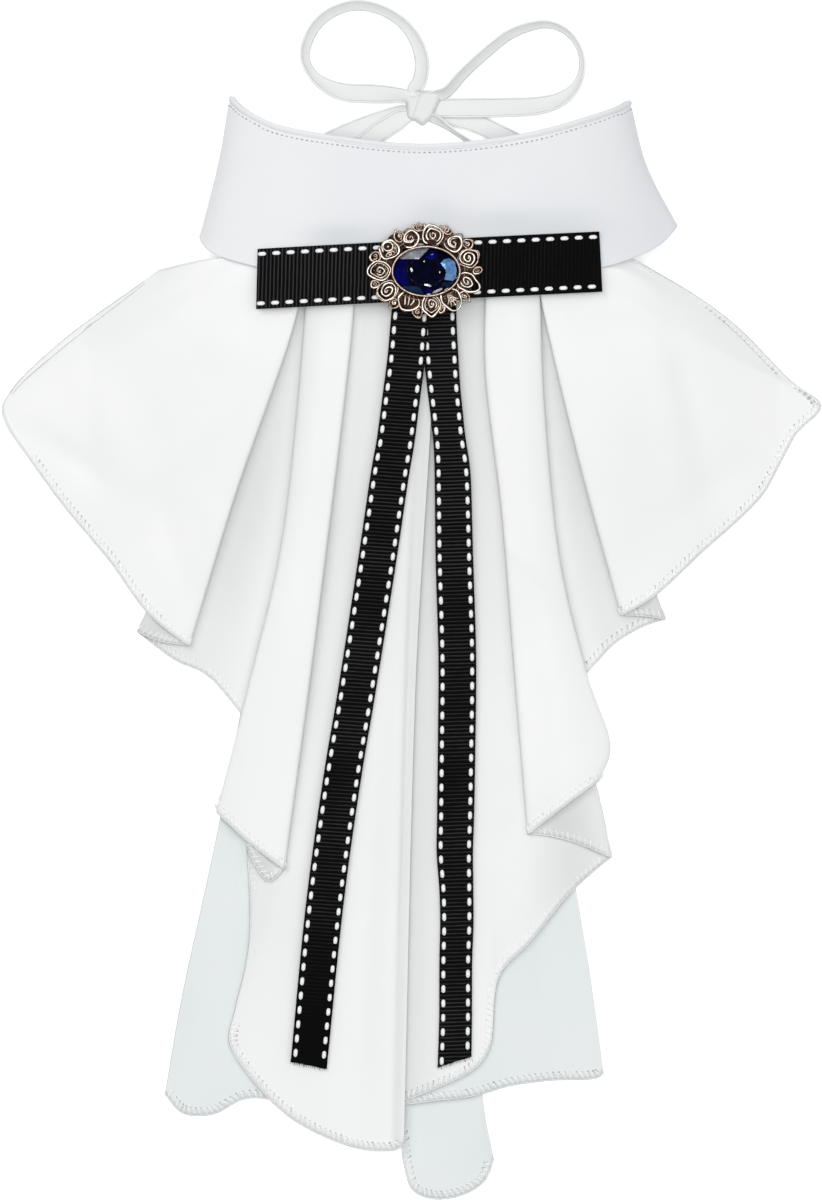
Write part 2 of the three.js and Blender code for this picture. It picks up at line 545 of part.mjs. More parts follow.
function tieGeometry(places) {
  const middle = new THREE.CatmullRomCurve3(
    places.map(({ x, y }) => new THREE.Vector3(x, y, 0)), false, 'centripetal');
  const stance = new THREE.CatmullRomCurve3(
    places.map(({ low, tilt }, k) => new THREE.Vector3(k, low, tilt)), false, 'catmullrom');
  const steps = 2 * (places.length - 1);
  const section = tieSection();
  const positions = [];
  for (let k = 0; k <= steps; k += 1) {
    const p = middle.getPoint(k / steps);
    const way = middle.getTangent(k / steps);
    const { y: low, z: degrees } = stance.getPoint(k / steps);
    const tilt = THREE.MathUtils.degToRad(degrees);
    const side = new THREE.Vector3(-way.y * Math.cos(tilt), way.x * Math.cos(tilt), Math.sin(tilt));
    const face = new THREE.Vector3(way.y * Math.sin(tilt), -way.x * Math.sin(tilt), Math.cos(tilt));
    p.z = low + TIE.width / 2 * Math.sin(tilt) + TIE.thickness / 2;
    for (const [w, t] of section) {
      const corner = p.clone().addScaledVector(side, w).addScaledVector(face, t);
      positions.push(corner.x, corner.y, Math.max(corner.z, 0));
    }
  }
  const n = section.length;
  const index = [];
  for (let k = 0; k < steps; k += 1) {
    for (let i = 0; i < n; i += 1) {
      const next = (i + 1) % n;
      const [a, b] = [k * n + i, k * n + next];
      index.push(a, b, b + n, a, b + n, a + n);
    }
  }
  for (let i = 1; i < n - 1; i += 1) {
    index.push(0, i + 1, i, steps * n, steps * n + i, steps * n + i + 1);
  }
  return facingOut(positions, index);
}

// The knot, a rounded wrap with a pointed lower side
const KNOT_OUTLINE = [
  { x: -7.4, y: -4 },
  { x: -2, y: -5.2 },
  { x: 0.6, y: -7.4 },
  { x: 3.6, y: -4.8 },
  { x: 5.6, y: -2 },
  { x: 5.2, y: 5.4 },
  { x: -1.4, y: 6.6 },
  { x: -7, y: 3.4 },
];

function knotGeometry() {
  const outline = new THREE.Shape(KNOT_OUTLINE.map(({ x, y }) => new THREE.Vector2(x, y)));
  const geometry = new THREE.ExtrudeGeometry(outline, {
    depth: KNOT.core,
    bevelEnabled: true,
    bevelThickness: KNOT.rounding,
    bevelSize: KNOT.edge,
    bevelOffset: -KNOT.edge,
    bevelSegments: 2,
  });
  geometry.translate(0, 0, KNOT.rounding);
  return geometry;
}

// The brooch, drawn flat at its own centre
function ovalOutline(width, height, { lobes = 0, depth = 0, points = OVAL_POINTS } = {}) {
  const outline = [];
  for (let k = 0; k < points; k += 1) {
    const turn = 2 * Math.PI * k / points;
    const swell = 1 + depth * Math.cos(lobes * turn);
    const x = width / 2 * swell * Math.cos(turn);
    const y = height / 2 * swell * Math.sin(turn);
    outline.push(new THREE.Vector2(x, y));
  }
  return outline;
}

function ring(outer, inner, depth) {
  const shape = new THREE.Shape(outer);
  shape.holes.push(new THREE.Path(inner));
  return new THREE.ExtrudeGeometry(shape, { depth, bevelEnabled: false });
}

function toSolid(geometry) {
  const bare = geometry.clone();
  bare.deleteAttribute('normal');
  bare.deleteAttribute('uv');
  const merged = mergeVertices(bare, WELD);
  return new wasm.Manifold(new wasm.Mesh({
    numProp: 3,
    vertProperties: new Float32Array(merged.attributes.position.array),
    triVerts: new Uint32Array(merged.index.array),
  }));
}

function toGeometry(solid) {
  const mesh = solid.getMesh();
  const geometry = new THREE.BufferGeometry();
  geometry.setAttribute('position', new THREE.Float32BufferAttribute(mesh.vertProperties, 3));
  geometry.setIndex([...mesh.triVerts]);
  return geometry;
}

function broochFrameGeometry() {
  const opening = ovalOutline(BEZEL.width - 2 * BEZEL.wall, BEZEL.height - 2 * BEZEL.wall);
  const scallops = ovalOutline(BROOCH.width, BROOCH.height, {
    lobes: BROOCH.lobes,
    depth: BROOCH.lobeDepth,
    points: 2 * OVAL_POINTS,
  });
  const plate = ring(scallops, opening, BROOCH.plate);
  const bezel = ring(ovalOutline(BEZEL.width, BEZEL.height), opening, BEZEL.rise);
  return toGeometry(toSolid(plate).add(toSolid(bezel)));
}

// The stone, a step-cut oval. Each level has its height and its share of the full size.
const STONE_LEVELS = [
  { at: 'flat back', z: 0.6, size: 0.72 },
  { at: 'girdle, lower edge', z: 2.6, size: 1 },
  { at: 'girdle, upper edge', z: 3.4, size: 1 },
  { at: 'crown', z: 5.1, size: 0.84 },
  { at: 'table', z: 6.4, size: 0.58 },
];

function stoneGeometry() {
  const facets = STONE_FACETS;
  const positions = [];
  for (const { z, size } of STONE_LEVELS) {
    for (const p of ovalOutline(STONE.width * size, STONE.height * size, { points: facets })) {
      positions.push(p.x, p.y, z);
    }
  }
  const index = [];
  for (let level = 0; level < STONE_LEVELS.length - 1; level += 1) {
    for (let k = 0; k < facets; k += 1) {
      const [a, b] = [level * facets + k, level * facets + (k + 1) % facets];
      index.push(a, b, b + facets, a, b + facets, a + facets);
    }
  }
  const top = (STONE_LEVELS.length - 1) * facets;
  for (let k = 1; k < facets - 1; k += 1) {
    index.push(0, k + 1, k, top, top + k, top + k + 1);
  }
  return facingOut(positions, index);
}

function pinGeometry() {
  const rod = new THREE.CylinderGeometry(PIN.radius, PIN.radius, PIN.length, PIN.sides);
  rod.rotateZ(Math.PI / 2);
  return rod;
}

function named(name, geometry, look) {
  const mesh = new THREE.Mesh(geometry, new THREE.MeshStandardMaterial(LOOKS[look]));
  mesh.name = name;
  return mesh;
}

function onTheBar(mesh, over) {
  mesh.position.set(0, 0, frontHeight(0, 0) + over);
  mesh.rotation.set(-Math.atan(BAND_SLOPE), 0, 0);
  return mesh;
}

const FRILL_STEPS = { along: 14, foldSteps: 3, flatSteps: 1 };
const UNDERLAY_STEPS = { along: 16, foldSteps: 1, flatSteps: 1 };
const BAND_STEPS = { along: 2, foldSteps: 1, flatSteps: 3 };

const body = [
  named('neck_band', sheetGeometry(BAND_SECTIONS, asGiven, BAND_WALL, BAND_STEPS), 'cloth'),
  named('frill_left', sheetGeometry(FRILL_LEFT, overBed, CLOTH, FRILL_STEPS), 'cloth'),
  named('frill_right', sheetGeometry(FRILL_RIGHT, overBed, CLOTH, FRILL_STEPS), 'cloth'),
  named('underlay_left', sheetGeometry(UNDERLAY_LEFT, overBed, CLOTH, UNDERLAY_STEPS), 'cloth'),
  named('underlay_right', sheetGeometry(UNDERLAY_RIGHT, overBed, CLOTH, UNDERLAY_STEPS), 'cloth'),
  named('ribbon_bar', barGeometry(), 'ribbon'),
  named('ribbon_tail_left', tailGeometry(TAIL_LEFT), 'ribbon'),
  named('ribbon_tail_right', tailGeometry(TAIL_RIGHT), 'ribbon'),
  onTheBar(named('brooch_frame', broochFrameGeometry(), 'metal'), BROOCH.over),
  onTheBar(named('brooch_stone', stoneGeometry(), 'stone'), BROOCH.over),
  onTheBar(named('brooch_pin', pinGeometry(), 'metal'), PIN.over),
];

const bow = Object.entries(TIES).map(([name, places]) => named(name, tieGeometry(places), 'tie'));
const knot = named('tie_knot', knotGeometry(), 'tie');
knot.position.set(KNOT.x, KNOT.y, KNOT.over);
bow.push(knot);

// The origin goes under the middle of the jabot's box, its bow left out
const box = new THREE.Box3();
for (const mesh of body) {
  mesh.updateMatrixWorld();
  box.expandByObject(mesh, true);
}
const jabot = new THREE.Group();
jabot.add(...body, ...bow);
jabot.position.set(-(box.min.x + box.max.x) / 2, -(box.min.y + box.max.y) / 2, -box.min.z);

export default jabot;
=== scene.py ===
"""Looks of a jabot that lies face up on a white surface: a white stand collar and cascade, black
grosgrain bar and tails with white saddle stitches, an oval filigree brooch with a dark blue stone,
and white ties in a bow. Tables are in millimetres from the brooch's centre, +Z up."""
import math

import bmesh
import bpy
import numpy as np
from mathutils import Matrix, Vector


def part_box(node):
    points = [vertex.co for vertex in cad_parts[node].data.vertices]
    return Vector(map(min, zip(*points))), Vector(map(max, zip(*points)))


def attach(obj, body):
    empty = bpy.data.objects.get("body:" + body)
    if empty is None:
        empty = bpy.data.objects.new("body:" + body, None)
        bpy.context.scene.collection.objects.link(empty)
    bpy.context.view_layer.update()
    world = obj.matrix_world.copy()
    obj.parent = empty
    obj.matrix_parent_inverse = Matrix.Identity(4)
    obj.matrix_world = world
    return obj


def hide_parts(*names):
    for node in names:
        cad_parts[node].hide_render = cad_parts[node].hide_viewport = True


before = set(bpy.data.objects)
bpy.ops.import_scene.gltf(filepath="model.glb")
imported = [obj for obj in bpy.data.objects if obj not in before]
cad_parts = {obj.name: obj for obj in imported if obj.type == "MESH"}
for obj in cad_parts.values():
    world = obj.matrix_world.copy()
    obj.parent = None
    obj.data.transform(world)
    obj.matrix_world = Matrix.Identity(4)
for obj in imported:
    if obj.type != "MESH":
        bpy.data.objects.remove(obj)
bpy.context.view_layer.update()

MM = 0.001
PIN_LOW, PIN_HIGH = (np.array(corner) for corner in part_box("brooch_pin"))
CENTRE = np.array([*(PIN_LOW + PIN_HIGH)[:2] / 2, 0.0])

# The cloth's lie, as in the model
BAND_FRONT_HEIGHT = 34
BAND_FRONT_DROP = 6.5
BAND_FRONT_REACH = 75
BAND_MIDDLE_X = 4
BAND_LOW_EDGE_Y = -2.8
BAND_SLOPE = 0.112
FRILL_STACK = 12.2
LAYER_SPREAD = 1.22
FRILL_FALL_START_Y = -6
FRILL_FALL_END_Y = -150
BAR = dict(length=136.8, width=24, turn=math.radians(2.9), x=1.5, y=0.25, over=2.6)
TIE_WIDTH = 8
TIE_THICK = 0.8
CLOTH_THICK = 0.62
BAND_THICK = 1.7
RIBBON_THICK = 0.8
JUST_ABOVE = 0.05

# Soft dents and swells of the cloth: x, y, half length, half width, turn in degrees, height
DENTS = [
    (-142, -74, 24, 6, -32, -1.5), (-128, -56, 22, 9, -65, 1.1), (-100, -72, 28, 7, 42, 1.3),
    (-110, -17, 16, 7, 35, -1.2), (-99, -114, 24, 6, -72, -1.1), (-84, -100, 26, 6, -66, 0.8),
    (-80, -28, 16, 9, -20, 0.9), (97, -60, 34, 6.5, -80, 1.4), (107, -54, 32, 6, -74, -1.1),
    (74, -21, 16, 6, -15, -1.2), (124, -44, 26, 9, -45, 1.0), (118, -84, 24, 8, 38, -0.8),
    (41, -116, 13, 2.2, -40, 0.7), (-59, -176, 46, 5, 80, 1.0), (-68, -176, 40, 4, 78, -0.7),
    (-38, -274, 60, 6, 84, 1.0), (-24, -280, 56, 5, 87, -0.9), (-62, -290, 34, 7, 70, -0.8),
    (36, -250, 36, 8, 62, 1.0), (44, -222, 18, 7, 20, -1.1), (-92, -280, 50, 9, 75, -1.0),
    (-104, -296, 34, 6, 78, 0.8), (52, -286, 40, 8, 100, -1.0), (62, -262, 34, 6, 102, 0.8),
    (8, -300, 40, 6, 88, 0.7), (-14, -372, 16, 7, 95, -0.8), (28, -150, 40, 4, 96, -0.6),
    (46, -180, 40, 5, 98, 0.8),
]


def front_height(x, y):
    """How high the front of the collar lies, carried on as a plane past its edge."""
    across = (x - BAND_MIDDLE_X) / BAND_FRONT_REACH
    arch = BAND_FRONT_HEIGHT - BAND_FRONT_DROP * across * across
    return arch - BAND_SLOPE * (y - BAND_LOW_EDGE_Y)


def bed(x, y):
    """How high the lowest cloth hangs, from under the collar down to the surface."""
    way = np.clip((y - FRILL_FALL_END_Y) / (FRILL_FALL_START_Y - FRILL_FALL_END_Y), 0, 1)
    fall = way * way * (3 - 2 * way)
    return np.maximum(0, front_height(x, BAND_LOW_EDGE_Y) - FRILL_STACK) * fall


def turned_from(x, y, middle_x, middle_y, degrees):
    """Places as seen from a middle, along and across a direction."""
    c, s = math.cos(math.radians(degrees)), math.sin(math.radians(degrees))
    away_x, away_y = x - middle_x, y - middle_y
    return away_x * c + away_y * s, away_y * c - away_x * s


def hump(distance, reach):
    return np.exp(-(distance / reach) ** 2)


def fade(distance, soft):
    """From 1 down to 0 where the distance passes 0."""
    return 1 / (1 + np.exp(distance / soft))


def dents(x, y):
    total = np.zeros(np.broadcast(x, y).shape)
    for *where, half_long, half_wide, turn, height in DENTS:
        a, b = turned_from(x, y, *where, turn)
        total = total + height * np.exp(-(a / half_long) ** 2 - (b / half_wide) ** 2)
    return total


def over_bed(x, y, lift):
    return bed(x, y) + LAYER_SPREAD * lift + dents(x, y)


# Curves

def unit(v):
    v = np.asarray(v, float)
    return v / np.maximum(np.linalg.norm(v, axis=-1, keepdims=True), 1e-9)


def run_along(line):
    """How far along a line each of its points lies."""
    return np.concatenate([[0], np.cumsum(np.linalg.norm(np.diff(line, axis=0), axis=1))])


def read_at(at, run, values):
    return np.array([np.interp(at, run, values[:, c]) for c in range(values.shape[1])])


def spline(points, places):
    """Centripetal Catmull-Rom through points (n, ..., 3), read at places from 0 to 1."""
    points = np.asarray(points, float)
    last = len(points) - 1
    padded = np.concatenate([[2 * points[0] - points[1]], points, [2 * points[-1] - points[-2]]])
    at = np.clip(np.asarray(places, float), 0, 1) * last
    start = np.minimum(at.astype(int), last - 1)
    w = (at - start).reshape((-1,) + (1,) * (points.ndim - 1))
    p = [padded[start + k] for k in range(4)]
    d0, d1, d2 = (np.sqrt(np.linalg.norm(a - b, axis=-1, keepdims=True)) for a, b in zip(p, p[1:]))
    d1 = np.where(d1 < 1e-4, 1, d1)
    d0 = np.where(d0 < 1e-4, d1, d0)
    d2 = np.where(d2 < 1e-4, d1, d2)
    t1 = ((p[1] - p[0]) / d0 - (p[2] - p[0]) / (d0 + d1) + (p[2] - p[1]) / d1) * d1
    t2 = ((p[2] - p[1]) / d1 - (p[3] - p[1]) / (d1 + d2) + (p[3] - p[2]) / d2) * d1
    c2 = 3 * (p[2] - p[1]) - 2 * t1 - t2
    c3 = 2 * (p[1] - p[2]) + t1 + t2
    return p[1] + w * (t1 + w * (c2 + w * c3))


def smooth_line(points, count):
    return spline(points, np.linspace(0, 1, count))


def even_line(points, count, fine=400):
    """The spline through the points, cut into stretches of one length."""
    places = np.linspace(0, 1, fine + 1)
    run = run_along(spline(points, places))
    return spline(points, np.interp(np.linspace(0, run[-1], count), run, places))


def tangents(line):
    return unit(np.gradient(line, axis=0))


def smoothed(values, width):
    ends = np.pad(values, width // 2, mode="edge")
    return np.convolve(ends, np.ones(width) / width, mode="valid")


# Meshes

def link(name, data):
    obj = bpy.data.objects.new(name, data)
    bpy.context.scene.collection.objects.link(obj)
    return obj


def to_object(name, verts, faces, uvs, smooth=True):
    """verts in design millimetres; faces as lists of vertex numbers; uvs one per vertex."""
    mesh = bpy.data.meshes.new(name)
    mesh.from_pydata(((np.asarray(verts) * MM) + CENTRE).tolist(), [], faces)
    mesh.polygons.foreach_set("use_smooth", [smooth] * len(mesh.polygons))
    layer = mesh.uv_layers.new(name="UVMap")
    loops = np.empty(len(mesh.loops), dtype=np.int32)
    mesh.loops.foreach_get("vertex_index", loops)
    layer.data.foreach_set("uv", (np.asarray(uvs)[loops] * MM).ravel())
    mesh.update()
    return link(name, mesh)


def recalculate_outward(obj):
    mesh = bmesh.new()
    mesh.from_mesh(obj.data)
    bmesh.ops.recalc_face_normals(mesh, faces=mesh.faces)
    mesh.to_mesh(obj.data)
    mesh.free()


def store(obj, name, values):
    layer = obj.data.attributes.new(name, "FLOAT", "POINT")
    layer.data.foreach_set("value", values.ravel().astype(np.float32))


def finish_piece(obj, material, slot, *nodes):
    obj.data.materials.append(material)
    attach(obj, "root")
    if nodes:
        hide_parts(*nodes)
    return obj


def merged(parts):
    """Several (verts, faces, uvs) as one."""
    verts, faces, uvs = [], [], []
    start = 0
    for part_verts, part_faces, part_uvs in parts:
        verts.append(part_verts)
        uvs.append(part_uvs)
        faces += [[start + k for k in face] for face in part_faces]
        start += len(part_verts)
    return np.concatenate(verts), faces, np.concatenate(uvs)


def merged_piece(name, parts, material, slot):
    return finish_piece(to_object(name, *merged(parts)), material, slot)


def grid_faces(rows, cols, start=0, flip=False):
    r, c = np.meshgrid(np.arange(rows - 1), np.arange(cols - 1), indexing="ij")
    a = start + r * cols + c
    quads = np.stack([a, a + 1, a + cols + 1, a + cols], axis=-1).reshape(-1, 4)
    return (quads[:, ::-1] if flip else quads).tolist()


def ring_faces(rings, sides, closed=False):
    """Quads between rings of points. Closed, the last ring meets the first."""
    faces = []
    for j in range(rings if closed else rings - 1):
        start, after = j * sides, (j + 1) % rings * sides
        for i in range(sides):
            k = (i + 1) % sides
            faces.append([start + i, start + k, after + k, after + i])
    return faces


def end_caps(rings, sides):
    return [list(range(sides))[::-1], list(range((rings - 1) * sides, rings * sides))]


def circle(count):
    return np.linspace(0, 2 * np.pi, count, endpoint=False)


def grid_normals(grid):
    return unit(np.cross(np.gradient(grid, axis=1), np.gradient(grid, axis=0)))


def flat_uvs(grid):
    """The cloth's own flat coordinates: distance across and distance along it."""
    along, across = np.zeros(grid.shape[:2]), np.zeros(grid.shape[:2])
    along[1:] = np.cumsum(np.linalg.norm(np.diff(grid, axis=0), axis=2), axis=0)
    across[:, 1:] = np.cumsum(np.linalg.norm(np.diff(grid, axis=1), axis=2), axis=1)
    across -= across[:, across.shape[1] // 2][:, None]
    return np.stack([across, along], axis=-1)


def skin_both_sides(name, grid, thickness):
    """A closed sheet of that thickness around a grid of points."""
    half = grid_normals(grid) * thickness / 2
    rows, cols = grid.shape[:2]
    verts = np.concatenate([(grid + half).reshape(-1, 3), (grid - half).reshape(-1, 3)])
    verts[:, 2] = np.maximum(verts[:, 2], JUST_ABOVE)
    n = rows * cols
    faces = grid_faces(rows, cols) + grid_faces(rows, cols, n, flip=True)
    ids = np.arange(n).reshape(rows, cols)
    rim = [*ids[0], *ids[1:, -1], *ids[-1, -2::-1], *ids[-2:0:-1, 0]]
    for a, b in zip(rim, rim[1:] + rim[:1]):
        faces.append([b, a, a + n, b + n])
    uvs = flat_uvs(grid).reshape(-1, 2)
    return to_object(name, verts, faces, np.concatenate([uvs, uvs]))


def row(*path, turn=0, shade=0):
    """One line of a cloth, from where it is sewn to its hem. With a turn it is a fold.

    The shade, from 0 to 1, is how far painted shade darkens the cloth there, for the line or for each
    point.
    """
    return dict(path=path, turn=turn, shade=shade)


def sheet_grid(rows, along, fold_steps, flat_steps):
    """The middle of the cloth's thickness, from its seam to its hem, and its shade at each point."""
    lines, steps = [], []
    for item in rows:
        points = np.column_stack([item["path"], np.broadcast_to(item["shade"], len(item["path"]))])
        lines.append(even_line(points, along + 1))
        steps.append(flat_steps)
        if item["turn"]:
            lines.append(even_line(points + [0, 0, item["turn"], 0], along + 1))
            steps.append(fold_steps)
    places = [0.0]
    for i in range(1, len(lines)):
        places += [(i - 1 + (k + 1) / steps[i]) / (len(lines) - 1) for k in range(steps[i])]
    grid = spline(np.array(lines), places).transpose(1, 0, 2)
    return grid[..., :3], np.clip(grid[..., 3], 0, 1)


# Tables of the cloth, the tails and the ties

# The collar, a row for each section around the loop: its top edge, middle and lower edge
BAND_SECTIONS = [
    row((-50, 51, 0.8), (-50.5, 30, 0.8), (-51, 10, 0.8)),
    row((-63, 57.5, 0.9), (-67, 34, 0.8), (-71, 10, 0.8)),
    row((-74.2, 66, 4.6), (-79, 39, 4.4), (-85.5, 11, 4.6)),
    row((-77, 70.2, 12), (-81.8, 43, 12.6), (-89.2, 13.6, 13.5)),
    row((-72.4, 65.6, 19.6), (-78.6, 37, 20.8), (-85.4, 8, 21.5)),
    row((-60, 59, 24.2), (-63.5, 30.6, 26.4), (-67.5, 1.8, 28.3)),
    row((-36, 54, 27), (-37, 26.4, 29.6), (-38, -1.2, 32)),
    row((0, 50.6, 28), (0, 24, 31.4), (0, BAND_LOW_EDGE_Y, 34)),
    row((38, 54.6, 27), (40, 26.6, 29.8), (42, -1.2, 32.2)),
    row((63, 61.2, 24), (67.5, 31.6, 26.2), (73, 2, 28.3)),
    row((76.4, 66, 19.4), (83, 38, 20.6), (92.8, 10.2, 21.4)),
    row((81, 68.4, 12), (87.6, 42.5, 12.8), (100, 18, 13.5)),
    row((77.6, 64.4, 4.6), (83.8, 38, 4.4), (93.6, 13.6, 4.6)),
    row((64, 57, 0.9), (69, 34, 0.8), (75, 11, 0.8)),
    row((48, 51, 0.8), (50, 30, 0.8), (51, 10, 0.8)),
]

# The cascades, from the wing's upper edge to the middle, in x, y and lift over the bed
FRILL_LEFT = [
    # wing
    row((-70, 6.8, 7.6), (-89, 4.6, 5.6), (-105.6, 1, 1.4)),
    row((-68, 5.4, 8), (-96, -4, 6.4), (-127.2, -16.4, 0.9)),
    row((-66, 4.6, 8.2), (-106, -13, 7), (-148.4, -33.6, 0.5)),
    row((-64, 4, 8.2), (-112, -22, 7.6), (-164.8, -47.2, 0.4)),
    row((-62, 3.8, 8.2), (-114, -27, 7.8), (-168.8, -53.6, 0.4)),
    row((-60, 3.6, 8.2), (-113, -32, 7.8), (-166.8, -61.2, 0.4)),
    row((-58, 3.4, 8.2), (-107, -38, 8), (-158.2, -74, 0.4)),
    row((-56, 3.2, 8.2), (-98, -48, 8.6), (-143.2, -94.4, 0.6)),
    row((-53.4, 3, 8.2), (-88, -58, 9.4), (-126, -114.8, 2.2)),
    row((-50, 2.8, 8.2), (-78, -68, 10.2), (-110, -136.4, 4.8)),
    # first crease
    row((-47, 2.6, 8.2), (-53.6, -24.8, 8.6), (-75.6, -87.2, 9.6), (-94.6, -148.7, 5.2), turn=-1.8),
    # under the wing
    row((-48.6, 2.6, 6.3), (-54.5, -24, 6.7), (-79, -82, 7.2), (-106, -147, 3), shade=0.7),
    # first outer fold
    row((-53, 2.6, 6.3), (-57, -22, 6.6), (-82, -75, 7), (-114.6, -143.4, 3), turn=-1.8, shade=0.7),
    # second panel
    row((-48.6, 2.6, 4.4), (-54, -21, 4.5), (-77, -82, 4.8), (-100, -154.4, 0.6),
        shade=(0.3, 0.4, 0.6, 0.4)),
    row((-46, 2.6, 4.4), (-51, -20, 4.2), (-69, -92, 3.8), (-87.2, -160.4, 0.7),
        shade=(0.3, 0.4, 0.55, 0.3)),
    row((-44, 2.6, 4.4), (-48.6, -19, 3.8), (-61.5, -102, 3.2), (-73.6, -175.6, 1.8),
        shade=(0.3, 0.35, 0.3, 0.1)),
    # inner fold
    row((-40, 2.6, 4.4), (-43.4, -19, 3.8), (-54, -112, 3.2), (-66, -186, 2.4), turn=1.8, shade=0.1),
    # second outer fold
    row((-46.4, 2.6, 6.3), (-47.4, -17.2, 5.9), (-57, -109, 5.7), (-70, -165, 5.3), (-82.8, -215.6, 4),
        turn=1.8, shade=(0.5, 0.4, 0.2, 0.1, 0.1)),
    # third panel
    row((-37, 2.6, 8.2), (-38, -16, 8.2), (-50, -118, 8.6), (-70, -227.6, 5.8)),
    # second crease
    row((-28.6, 2.2, 8.2), (-28.8, -14, 8.2), (-42.8, -134.8, 8.4), (-56.4, -238, 6.2), turn=-1.8),
    # under the third panel
    row((-32.2, 2.2, 6.3), (-32.4, -15, 6.3), (-47, -130, 6), (-62.8, -243, 4.2), shade=0.7),
    # third outer fold
    row((-36, 2.2, 6.3), (-36, -16, 6.3), (-51, -126, 5.4), (-71, -230, 4.2), turn=-1.8, shade=0.6),
    # middle panel
    row((-32.6, 2.2, 4.4), (-32.6, -16, 4.4), (-46, -137, 3.4), (-61.4, -222, 2.8), (-69.8, -267, 2.3),
        shade=(0.3, 0.4, 0.5, 0.3, 0.2)),
    row((-29.6, 2, 4.4), (-29.6, -16, 4.4), (-43, -147, 3.2), (-62, -250, 2.6), (-75.6, -294.8, 2.2),
        shade=(0.3, 0.4, 0.4, 0.25, 0.15)),
    row((-26.8, 2, 4.4), (-26.8, -16, 4.4), (-40.4, -152, 3.2), (-61, -262, 2.6), (-78, -307, 2.1),
        shade=(0.3, 0.3, 0.3, 0.15, 0.1)),
    row((-24, 2, 4.4), (-24.2, -16, 4.4), (-37.6, -155, 3.3), (-56.6, -266, 2.7), (-72.4, -318, 2.2),
        shade=(0.2, 0.3, 0.2, 0.1, 0.05)),
    row((-18.6, 1.8, 4.5), (-19, -16, 4.5), (-31, -158, 3.8), (-54, -337.2, 2.4),
        shade=(0.2, 0.2, 0.1, 0)),
    row((-11, 1.6, 5.6), (-11.4, -16, 5.8), (-18.6, -162, 5.8), (-28.4, -349.2, 4.2),
        shade=(0.2, 0.2, 0.05, 0)),
    # valley
    row((-6, 1.4, 6.4), (-5, -18, 6.8), (-9.4, -166, 7.4), (-14.6, -350.4, 6.4), shade=(0.2, 0.2, 0.2, 0)),
    row((-2.6, 1.3, 6.4), (-0.6, -18, 6.2), (-6.6, -166, 6.2), (-11.6, -350, 6),
        shade=(0.2, 0.3, 0.5, 0.4)),
    # edge
    row((0.6, 1.2, 6.4), (3.4, -18, 6.8), (-3.8, -166, 7), (-8.4, -348, 6.2), shade=(0.2, 0.3, 0.3, 0.1)),
]

